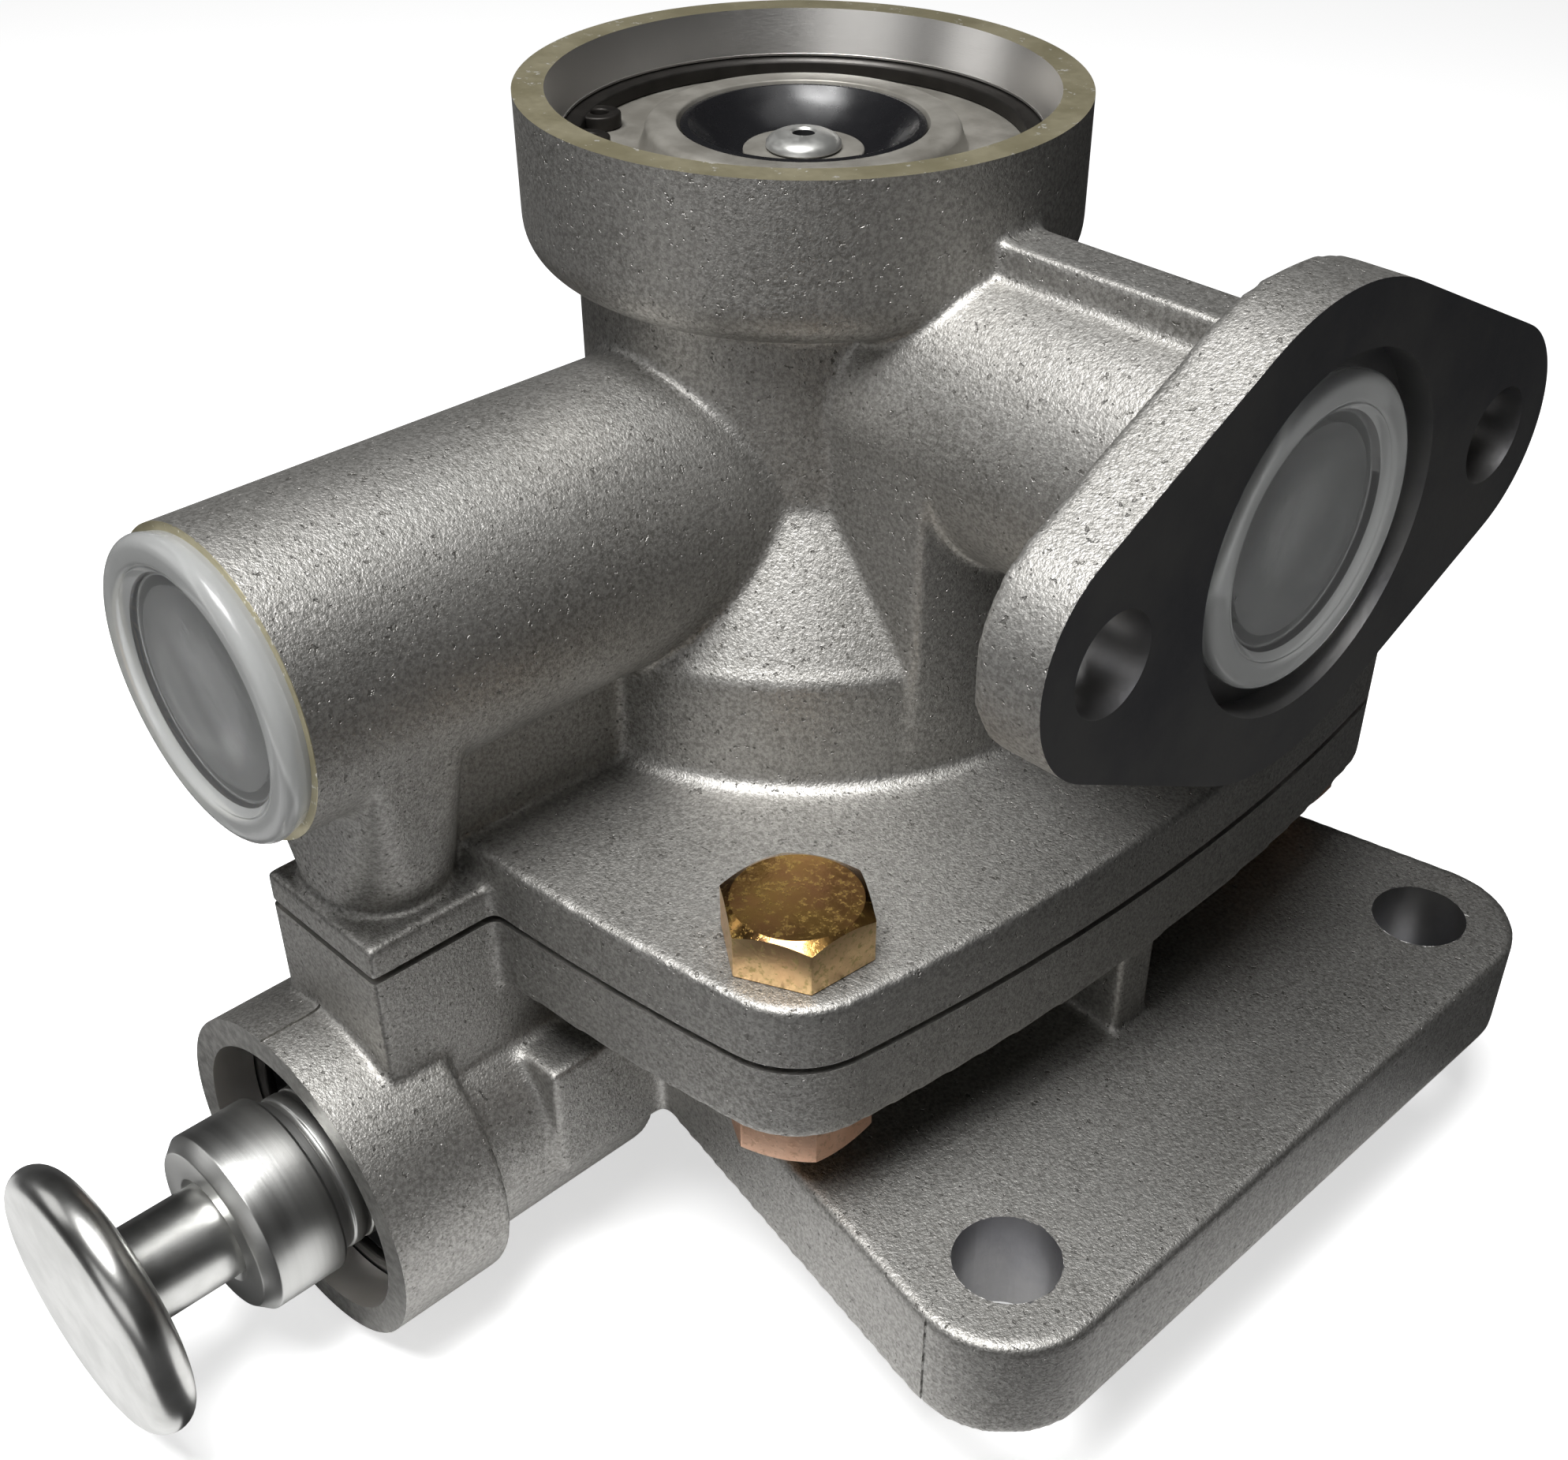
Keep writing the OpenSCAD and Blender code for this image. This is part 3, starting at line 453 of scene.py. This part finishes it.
# Lower casting
# The mounting plate, the drum of the emergency piston and the barrel of the release valve are one
# casting, bolted under the upper one. Its plate carries the whole valve.
RELEASE = (0, 0, 2.8)
BARREL_BORE = 15.6
BARREL_END = 73.3
REAR = (0, 0, 16.2)
REAR_END = 60
PLATE = 12.5
PLATE_HOLE = 5.25
PLATE_HOLES = ((63.7, 35.75), (63.7, -35.75), (-62, 0))
lower = copy_of("lower_housing", "lower_casting")
cast(lower,
     [rod("+Z", (0, 0, 0), 30.9, 6.5, SPLIT), rod("-Y", RELEASE, BARREL_BORE + 0.3, 38, BARREL_END),
      rod("+Y", REAR, PORT_BORE + 0.3, 10, REAR_END)]
     + [rod("+Z", (x, y, 0), PLATE_HOLE + 0.35, 0, PLATE) for x, y in PLATE_HOLES]
     + four(4.9, 23, SPLIT),
     [("Z", SPLIT, 1.5), ("Y", REAR_END, 1.5), ("Y", -BARREL_END, -1.5)])
machine(lower,
        [rod("+Z", (0, 0, 0), 90, SPLIT, 36), rod("+Y", REAR, 20, REAR_END, 66),
         rod("+Z", (0, 0, 0), 22, 7, 33), rod("+Z", (0, 0, 0), 30.5, 28.9, 33, sides=128),
         rod("-Y", RELEASE, 30, BARREL_END, 78), rod("-Y", RELEASE, BARREL_BORE, 58, 75),
         rod("-Y", RELEASE, 16.6, 67.1, 68.4), rod("-Y", RELEASE, 9.5, 52.5, 60),
         rod("-Y", RELEASE, 6, 40.5, 55), rod("+Y", REAR, PORT_BORE, 44, 62),
         rod("+Y", (0, 0, 20.2), 4, 10, 46, sides=48)]
        + [rod("+Z", (x, y, 0), PLATE_HOLE, -1, 14, sides=64) for x, y in PLATE_HOLES]
        + four(4.5, 22, 33)
        + [bar((-1.3, -68, 21.5), (0.35, 14, 0.8)), bar((63, -46.25, 6.25), (0.35, 0.6, 14))])
wear(lower, 6)
for finish in (cast_material, turned_material, milled_material, faced_material):
    lower.data.materials.append(finish)


def in_barrel(c, n):
    """True on the barrel's bore, whose faces look at its axis."""
    radius = math.hypot(c.x, c.z - RELEASE[2])
    return c.y < -40 and radius < BARREL_BORE + 0.1 and c.x * n.x + (c.z - RELEASE[2]) * n.z < -0.9 * radius


paint(lower, 1, lambda c, n: in_barrel(c, n) or c.z > SPLIT - 0.01)
paint(lower, 2, lambda c, n: any(math.hypot(c.x - x, c.y - y) < PLATE_HOLE + 0.05 for x, y in PLATE_HOLES))
paint(lower, 3, lambda c, n: c.y < -BARREL_END + 0.05)
alone(lower)
bpy.ops.object.shade_smooth_by_angle(angle=EDGE_ANGLE)
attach(lower, "body")
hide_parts("lower_housing")

# Gasket
# A black sheet between the two castings, set back from their edge, so that the joint shows as a
# dark line all round the flange.
# This black rubber also stands as painted shade inside the rivet's vent hole.
rubber_and_hole_shade, rubber_shader, rubber_place = material("black_rubber_and_painted_shade")
wipe = rubber_place.noise(260, 3)
feed(rubber_and_hole_shade, rubber_shader, Base_Color=(0.012, 0.012, 0.013, 1),
     Roughness=0.45 + 0.25 * wipe, Specular_IOR_Level=0.4)
for name in ("housing_gasket", "guide_o_ring", "inlet_valve_rubber", "relay_piston_ring",
             "emergency_piston_ring", "check_valve", "release_o_ring", "bushing_o_ring"):
    nodes[name].data.materials.clear()
    nodes[name].data.materials.append(rubber_and_hole_shade)

# Upper casting
# The cup, the neck, both ports and the upper flange are one casting. The cup's rim and bore, the
# ends of the ports and the recess in the two-hole flange are machined.
LEFT = (0, 0, 62.4)
LEFT_END = 70.5
RIGHT = (0, 0, 74.2)
RIGHT_END = 62.6
RECESS = 59.4
RECESS_RADIUS = 16.5
EARS = ((0, -28.2, 74.2), (0, 28.2, 74.2))
EAR_HOLE = 4.65
CUP_TOP = 98.4
CUP_BORE = 23.2
CUP_MOUTH = 24.5
upper = copy_of("upper_housing", "upper_casting")
rib_root = bar((53.8, 0, 93.3), (6, 5.8, 5.4))
machine(rib_root, [rod("+Y", (50.8, 0, 96), 5, -4, 4)])
drum_root = turned("drum_root", "+Z", (0, 0, 0),
                   [(31, 38), (34.6, 38)] + arc((34.6, 41.6), 2.6, 270, 180) + [(31, 41.6)], ease=0)
cast(upper,
     [rib_root, drum_root, rod("+Z", (0, 0, 0), 28.4, UPPER_Z, 47), rod("+Z", (0, 0, 0), 17, 40, 88),
      rod("+Z", (0, 0, 0), 25, 86.9, CUP_TOP), rod("-Y", LEFT, PORT_BORE + 0.3, 10, LEFT_END),
      rod("+X", RIGHT, PORT_BORE + 0.3, 10, 61), rod("+X", RIGHT, RECESS_RADIUS + 0.4, 58.5, RIGHT_END)]
     + [rod("+X", ear, EAR_HOLE + 0.35, 55.8, RIGHT_END) for ear in EARS] + four(4.9, UPPER_Z, 39),
     [("Z", UPPER_Z, -1.5), ("Z", CUP_TOP, 1.5), ("Y", -LEFT_END, -1.5), ("X", RIGHT_END, 1.5)])
machine(upper,
        [rod("+Z", (0, 0, 0), 90, 28, UPPER_Z), rod("+Z", (0, 0, 0), 40, CUP_TOP, 104),
         rod("-Y", LEFT, 20, LEFT_END, 76), rod("+X", RIGHT, 45, RIGHT_END, 68),
         rod("+Z", (0, 0, 0), 28, 30, 46.5), rod("+Z", (0, 0, 0), 12, 45, 65),
         rod("+Z", (0, 0, 0), 7.6, 60, 70), rod("+Z", (0, 0, 0), 16, 68, 90),
         rod("+Z", (0, 0, 0), CUP_BORE, 87, 100, sides=128), rod("+Z", (0, 0, 0), 24.2, 92.4, 94, sides=128),
         rod("+Z", (0, 0, 0), CUP_BORE + 0.1, 94.2, 98.5, tip=CUP_MOUTH, sides=128),
         rod("-Y", LEFT, PORT_BORE, 54.5, 73), rod("-Y", (0, 0, 58.4), 5, 5, 60, sides=48),
         rod("+X", RIGHT, RECESS_RADIUS, RECESS, 64, sides=128), rod("+X", RIGHT, PORT_BORE, 43.4, 62),
         rod("+X", RIGHT, 9.5, 35.4, 50), rod("+X", RIGHT, 5, 5, 40, sides=48)]
        + [rod("+X", ear, EAR_HOLE, 54, 64, sides=64) for ear in EARS] + four(4.5, 31, 41))

rim_material, rim_shader, rim_place = material("cup_rim")
smear = rim_place.noise(160, 4)
lathe = rim_place.noise(1500, 2)
rim_tone = smear.step(0.3, 0.7).mix((0.4, 0.36, 0.23, 1), (0.56, 0.51, 0.35, 1))
chips = rim_place.noise(900, 3, 0.7).step(0.63, 0.68)
rim_tone = chips.mix(rim_tone, (0.85, 0.83, 0.76, 1))
feed(rim_material, rim_shader, Base_Color=rim_tone, Roughness=0.3 + 0.15 * lathe, Metallic=0.75,
     Normal=rim_place.node("Bump", {}, {"Strength": 0.3, "Distance": 0.00005, "Height": lathe}))
wear(upper, 6)
for finish in (cast_material, turned_material, rim_material, milled_material):
    upper.data.materials.append(finish)


def on_flange(c, n):
    """True on the flange's face, its recess and the holes in its ears."""
    if c.x > RIGHT_END - 0.05 or math.hypot(c.y, c.z - RIGHT[2]) < RECESS_RADIUS + 0.1 and c.x > RECESS - 0.1:
        return True
    return c.x > 50 and any(math.hypot(c.y - y, c.z - z) < EAR_HOLE + 0.05 for x, y, z in EARS)


paint(upper, 1, lambda c, n: math.hypot(c.x, c.y) < CUP_MOUTH + 0.1 and c.z > 86)
paint(upper, 2, lambda c, n: c.z > CUP_TOP - 0.01 or c.y < -LEFT_END + 0.05)
paint(upper, 3, on_flange)
alone(upper)
bpy.ops.object.shade_smooth_by_angle(angle=EDGE_ANGLE)
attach(upper, "body")
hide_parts("upper_housing")


# Flange bolts and nuts
# Four steel M8 bolts go down through both flanges into nuts. The heads are zinc plated and passivated yellow,
# with a paler copy of the plating painted on their flats as a painted reflection, and the nuts are copper
# coloured.


def hexagon(name, flats, height, turn, crown):
    """A hexagon of steel that stands on the origin, with its upper corners turned off to the crown."""
    clear()
    corner = flats / 2 / math.cos(math.pi / 6)
    bpy.ops.mesh.primitive_cylinder_add(vertices=6, radius=corner * MM, depth=height * MM,
                                        location=(0, 0, height / 2 * MM))
    piece = bpy.context.object
    piece.name = name
    settle(piece, (0, 0, math.radians(turn)))
    finish_with(piece, "BEVEL", width=0.15 * MM, segments=2)
    fall = (corner + 1 - crown) * math.tan(math.radians(30))
    chuck = turned("chuck", "+Z", (0, 0, 0),
                   [(0, -1), (corner + 1, -1), (corner + 1, height - fall), (crown, height),
                    (0, height)], ease=0, sides=128)
    finish_with(piece, "BOOLEAN", operation="INTERSECT", object=chuck, solver="MANIFOLD")
    bpy.data.objects.remove(chuck)
    return piece


def join(piece, *others):
    """Makes one object of several."""
    clear()
    for other in others:
        other.select_set(True)
    piece.select_set(True)
    bpy.context.view_layer.objects.active = piece
    bpy.ops.object.join()


def plated(name, light, dark, stain, roughness):
    """Thin bright plating on steel: two tones in patches, with a third in small stains."""
    made, shader, place = material(name)
    patch = place.noise(190, 4, 0.6).step(0.35, 0.68)
    spot = place.noise(1500, 4, 0.7).step(0.5, 0.66)
    tone = (spot * 0.75).mix(patch.mix(light, dark), stain)
    marks = place.noise(2600, 2)
    feed(made, shader, Base_Color=tone, Metallic=1.0, Roughness=roughness + 0.14 * spot + 0.06 * marks,
         Normal=place.node("Bump", {}, {"Strength": 0.3, "Distance": 0.00005,
                                        "Height": marks * 0.5 + spot * 0.5}))
    return made


FLANGE_TOP = 39
FLANGE_LOW = 23
HEX_FLATS = 13
yellow_zinc = plated("yellow_zinc", (0.34, 0.2, 0.06, 1), (0.32, 0.16, 0.07, 1), (0.5, 0.34, 0.1, 1), 0.14)
# A paler copy of the plating, put on the heads' flats as a painted reflection of the bright floor.
zinc_painted_reflection = plated("zinc_painted_reflection", (0.8, 0.57, 0.3, 1), (0.7, 0.45, 0.24, 1), (0.5, 0.4, 0.16, 1), 0.34)
copper_zinc = plated("copper_zinc", (0.86, 0.56, 0.4, 1), (0.76, 0.45, 0.3, 1), (0.6, 0.38, 0.26, 1), 0.34)
thread = ([(0, 0)] + [(3.35 + 0.6 * (i % 2), 0.3 + 0.625 * i) for i in range(14)]
          + [(3.35, 9.4), (0, 9.4)])
bolt = hexagon("flange_bolt_1", HEX_FLATS, 5.3, -4.5, 6.1)
bolt.location.z = FLANGE_TOP * MM
settle(bolt)
join(bolt, turned("shank", "+Z", (0, 0, 16), thread, ease=0),
     turned("shank", "+Z", (0, 0, 25.3), [(0, 0), (3.98, 0), (3.98, 14), (0, 14)], ease=0))
nut = hexagon("flange_nut_1", HEX_FLATS, 6, 0, 6.2)
nut.rotation_euler = (math.pi, 0, math.radians(-0.5))
nut.location.z = FLANGE_LOW * MM
settle(nut)
machine(nut, [rod("+Z", (0, 0, 0), 4.05, 15, 25, sides=48)])
for pattern, node, finish in ((bolt, "flange_bolts", yellow_zinc), (nut, "flange_nuts", copper_zinc)):
    pattern.data.materials.clear()
    pattern.data.materials.append(finish)
    if pattern is bolt:
        # The head's flats get the paler plating as a painted reflection.
        bolt.data.materials.append(zinc_painted_reflection)
        paint(bolt, 1, lambda c, n: c.z > FLANGE_TOP + 0.2 and abs(n.z) < 0.2)
    alone(pattern)
    bpy.ops.object.shade_smooth_by_angle(angle=math.radians(30))
    for number, (x, y) in enumerate(((BOLT, -BOLT), (BOLT, BOLT), (-BOLT, BOLT), (-BOLT, -BOLT)), 1):
        piece = pattern
        if number < 4:
            piece = pattern.copy()
            piece.data = pattern.data.copy()
            bpy.context.scene.collection.objects.link(piece)
        piece.name = node[:-1] + "_" + str(number)
        piece.location = Vector((x, y, 0)) * MM
        settle(piece)
        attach(piece, "body")
        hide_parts(node)

# Exhaust guide
# A light alloy disc lies in the cup under a snap ring. Its raised collar guards a rubber flap,
# held at the middle by a washer and a domed rivet with a vent hole.
guide_material, guide_shader, guide_place = material("guide_alloy")
haze = guide_place.noise(220, 4, 0.6)
turning = guide_place.stretch(1, 1, 0.2).noise(1800, 2)
guide_tone = haze.step(0.3, 0.72).mix((0.2, 0.189, 0.165, 1), (0.3, 0.287, 0.257, 1))
feed(guide_material, guide_shader, Base_Color=guide_tone, Metallic=0.45, Roughness=0.36 + 0.16 * haze,
     Normal=guide_place.node("Bump", {}, {"Strength": 0.35, "Distance": 0.00005,
                                          "Height": turning * 0.6 + haze * 0.4}))
guide = turned("exhaust_guide", "+Z", (0, 0, 0),
               [(8.65, 78.4), (15.95, 78.4), (15.95, 87), (23.15, 87), (23.15, 92.4), (15.9, 92.4)]
               + arc((14.4, 93.9), 0.9, 0, 90, 5)
               + [(12.2, 94.8), (11.8, 92.6), (5, 90), (2, 90), (2, 87.2), (8.65, 87.2)], ease=0.15)
machine(guide, [rod("+Z", (7.6 * math.cos(a), 7.6 * math.sin(a), 0), 1.6, 86, 93, sides=32)
                for a in (math.radians(60 * i) for i in range(6))])
guide.data.materials.append(guide_material)
alone(guide)
bpy.ops.object.shade_smooth_by_angle(angle=math.radians(35))

bowl_material, bowl_shader, bowl_place = material("flap_rubber")
wave = bowl_place.noise(130, 2, 0.4)
smudge = bowl_place.noise(500, 4, 0.6)
feed(bowl_material, bowl_shader, Base_Color=(0.008, 0.008, 0.009, 1),
     Roughness=0.2 + 0.14 * smudge, Specular_IOR_Level=0.6,
     Normal=bowl_place.node("Bump", {}, {"Strength": 0.5, "Distance": 0.0006, "Height": wave}))
flap = turned("exhaust_flap", "+Z", (0, 0, 0),
              [(2.05, 90.2), (4.7, 90.2), (7.2, 91), (9.4, 92), (11.3, 93.3), (11.9, 94.5), (11.1, 94.7),
               (10.2, 93.7), (8.9, 92.7), (7.6, 91.8), (6.2, 91.3), (2.05, 91.3)], ease=0.12)
flap.data.materials.append(bowl_material)

bright_material, bright_shader, bright_place = material("bright_steel")
scuff = bright_place.noise(420, 5, 0.65)
feed(bright_material, bright_shader, Base_Color=(0.45, 0.45, 0.43, 1), Metallic=0.8,
     Roughness=0.34 + 0.2 * scuff.step(0.4, 0.75),
     Normal=bright_place.node("Bump", {}, {"Strength": 0.2, "Distance": 0.00005, "Height": scuff}))
washer = turned("flap_washer", "+Z", (0, 0, 0),
                [(2.05, 91.35), (5.9, 91.35), (5.9, 92.05), (2.05, 92.05)], ease=0.15)
washer.data.materials.append(guide_material)
stud = turned("flap_stud", "+Z", (0, 0, 0),
              [(1.1, 90.2), (1.95, 90.2), (1.95, 92.1), (3.5, 92.1), (3.7, 92.3), (3.65, 92.7), (3.3, 93.1),
               (2.7, 93.4), (1.9, 93.58), (1.3, 93.6), (1.1, 93.4)], ease=0)
foot = turned("foot", "+Z", (0, 0, 0),
              [(0, 86.4), (3.2, 86.4), (3.2, 87.1), (1.95, 87.15), (1.95, 90.2), (0, 90.2)], ease=0)
join(stud, foot)
stud.data.materials.append(bright_material)
# The inside of the rivet's vent hole gets the black rubber as painted shade, so the hole reads dark.
stud.data.materials.append(rubber_and_hole_shade)
paint(stud, 1, lambda c, n: math.hypot(c.x, c.y) < 1.13 and c.z < 93.3)

# Snap ring of the guide
# A black spring steel ring in the cup's groove, with an eye at each end for pliers.
black_steel, black_shader, black_place = material("black_steel")
oxide = black_place.noise(600, 4)
feed(black_steel, black_shader, Base_Color=oxide.mix((0.012, 0.011, 0.01, 1), (0.03, 0.027, 0.024, 1)),
     Metallic=0.7, Roughness=0.35 + 0.25 * oxide,
     Normal=black_place.node("Bump", {}, {"Strength": 0.2, "Distance": 0.00005, "Height": oxide}))
GAP = 14
RING_END = -138.5
cup_ring = turned("guide_snap_ring", "+Z", (0, 0, 0),
                  [(21.5, 92.45), (24, 92.45), (24, 93.85), (21.5, 93.85)], ease=0.2, angle=360 - GAP,
                  start=RING_END + GAP / 2)
for side in (-1, 1):
    a = math.radians(RING_END + side * (GAP / 2 + 3))
    join(cup_ring, turned("eye", "+Z", (20.6 * math.cos(a), 20.6 * math.sin(a), 0),
                          [(0.9, 92.45), (2.1, 92.45), (2.1, 93.8), (0.9, 93.8)], sides=32))
cup_ring.data.materials.append(black_steel)

# Release valve
# A bright turned plunger slides in a plastic bushing at the mouth of the barrel. A polished
# button on a short stem is pressed into its front; pushing it by hand releases the brakes.
polished, polished_shader, polished_place = material("polished_aluminium")
fine = polished_place.stretch(1, 0.08, 1).noise(1400, 3)
dull = polished_place.noise(180, 4)
polished_tone = dull.step(0.3, 0.7).mix((0.56, 0.56, 0.54, 1), (0.74, 0.74, 0.72, 1))
feed(polished, polished_shader, Base_Color=polished_tone, Metallic=1.0, Roughness=0.24 + 0.12 * dull,
     Normal=polished_place.node("Bump", {}, {"Strength": 0.12, "Distance": 0.00004, "Height": fine}))
lathe_cut, lathe_shader, lathe_place = material("turned_aluminium")
lines = lathe_place.stretch(0.04, 1, 0.04).noise(2600, 3, 0.7)
bands = lathe_place.stretch(0.02, 1, 0.02).noise(420, 3)
lathe_tone = bands.mix((0.42, 0.42, 0.405, 1), (0.7, 0.7, 0.685, 1))
feed(lathe_cut, lathe_shader, Base_Color=lathe_tone, Metallic=1.0, Roughness=0.24 + 0.22 * bands,
     Normal=lathe_place.node("Bump", {}, {"Strength": 0.35, "Distance": 0.00003, "Height": lines}))
plunger = turned("release_plunger", "-Y", RELEASE,
                 [(0, 48.5), (5.35, 48.5), (5.95, 49.1), (5.95, 50.3), (4.35, 50.3), (4.35, 52.7),
                  (5.95, 52.7), (5.95, 60), (8.4, 60), (8.9, 60.5), (8.9, 70.2), (8.7, 70.3), (8.7, 70.9),
                  (8.9, 71), (8.9, 72.3), (8.7, 72.4), (8.7, 72.9), (8.9, 73), (8.9, 74.2), (9.9, 74.2),
                  (10.15, 74.5), (10.15, 81.9), (8.9, 83.3), (5.9, 83.3), (5.2, 82.5), (4.2, 82.5),
                  (4.2, 77.3), (0, 77.3)], ease=0.12, sides=128)
plunger.data.materials.append(lathe_cut)
knob = turned("release_knob", "-Y", RELEASE,
              [(0, 77.5), (4.2, 77.5), (4.2, 82.5), (5.2, 82.5), (5.2, 91.6), (5.5, 92.9), (6.8, 93.6)]
              + arc((12.6, 95.9), 2.3, -80, 80, 14) + [(8, 98.2), (0, 98.2)], ease=0, sides=128)
knob.data.materials.append(polished)

plastic, plastic_shader, plastic_place = material("black_plastic")
mould = plastic_place.noise(1200, 3)
feed(plastic, plastic_shader, Base_Color=(0.02, 0.02, 0.021, 1), Roughness=0.4 + 0.15 * mould,
     Normal=plastic_place.node("Bump", {}, {"Strength": 0.2, "Distance": 0.00006, "Height": mould}))
bushing = turned("release_bushing", "-Y", RELEASE,
                 [(8.95, 58), (15.55, 58), (15.55, 67), (14.2, 67), (14.2, 65.8), (11, 65.8), (11, 67),
                  (8.95, 67), (8.95, 63.8), (10.5, 63.8), (10.5, 61.4), (8.95, 61.4)], ease=0.15)
bushing.data.materials.append(plastic)
barrel_ring = turned("release_snap_ring", "-Y", RELEASE,
                     [(13.7, 67.15), (16.5, 67.15), (16.5, 68.25), (13.7, 68.25)], angle=320, start=110)
for side in (-1, 1):
    a = math.radians(90 + side * 25)
    join(barrel_ring, turned("eye", "-Y", (12.6 * math.cos(a), 0, RELEASE[2] + 12.6 * math.sin(a)),
                             [(0.9, 67.15), (2.1, 67.15), (2.1, 68.25), (0.9, 68.25)], sides=32))
barrel_ring.data.materials.append(black_steel)

# Port caps
# Milky polythene caps are pushed into the three ports. Each has a rounded rim and a thin dished
# floor, through which the dark port shows.


def polythene(name, colour, clearness, roughness):
    """Milky to clear plastic, a little wavy from the mould."""
    made, shader, place = material(name)
    milk = place.noise(300, 3)
    feed(made, shader, Base_Color=colour, Roughness=roughness + 0.1 * milk,
         Transmission_Weight=clearness, IOR=1.4,
         Normal=place.node("Bump", {}, {"Strength": 0.25, "Distance": 0.0002, "Height": milk}))
    return made


cap_rim = polythene("milky_plastic", (0.7, 0.71, 0.7, 1), 0.62, 0.16)
cap_floor = polythene("clear_plastic", (0.55, 0.555, 0.55, 1), 0.86, 0.2)


def port_cap(name, facing, at):
    """A cap whose rim seats at a place and whose skirt goes into the port, painted clear inside."""
    piece = turned(name, facing, at,
                   [(0, 1.6), (5.2, 1.6), (5.4, 1.5), (10.5, 1.5), (10.9, 1.65), (11.5, 2.35)]
                   + arc((12.2, 1.95), 0.65, 150, 90, 4) + arc((13.2, 1.5), 1.1, 90, -20, 9)
                   + [(13.95, 0), (10.7, 0), (10.4, -8), (9.3, -8), (9.6, 0.6), (0, 0.6)], ease=0, sides=128)
    piece.data.materials.append(cap_rim)
    piece.data.materials.append(cap_floor)
    axis, seat = ALONG[facing], Vector(at)
    paint(piece, 1, lambda c, n: (c - seat).cross(axis).length < 11 and (c - seat).dot(axis) > 0.3)
    return piece


caps = (("left_port_cap", "left_cap", port_cap("left_port_cap", "-Y", (0, -LEFT_END, LEFT[2]))),
        ("right_port_cap", "right_cap", port_cap("right_port_cap", "+X", (RECESS, 0, RIGHT[2]))),
        ("rear_port_cap", "rear_cap", port_cap("rear_port_cap", "+Y", (0, REAR_END, REAR[2]))))
for node, body, piece in caps + (
        ("exhaust_guide", "body", guide), ("exhaust_flap", "body", flap), ("flap_washer", "body", washer),
        ("flap_stud", "body", stud), ("guide_snap_ring", "body", cup_ring),
        ("release_plunger", "release_valve", plunger), ("release_knob", "release_valve", knob),
        ("release_bushing", "body", bushing), ("release_snap_ring", "body", barrel_ring)):
    piece.name = node + "_piece"
    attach(piece, body)
    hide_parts(node)

# Pistons, valves and springs inside
# They are out of sight until a cap or the guide comes off, and keep their CAD shape.
for name, finish in (("relay_piston", guide_material), ("partition_disc", guide_material),
                     ("emergency_piston", guide_material), ("inlet_valve", yellow_zinc),
                     ("inlet_valve_spring", bright_material), ("emergency_spring", bright_material),
                     ("check_valve_spring", bright_material), ("port_strainer", guide_material)):
    nodes[name].data.materials.clear()
    nodes[name].data.materials.append(finish)
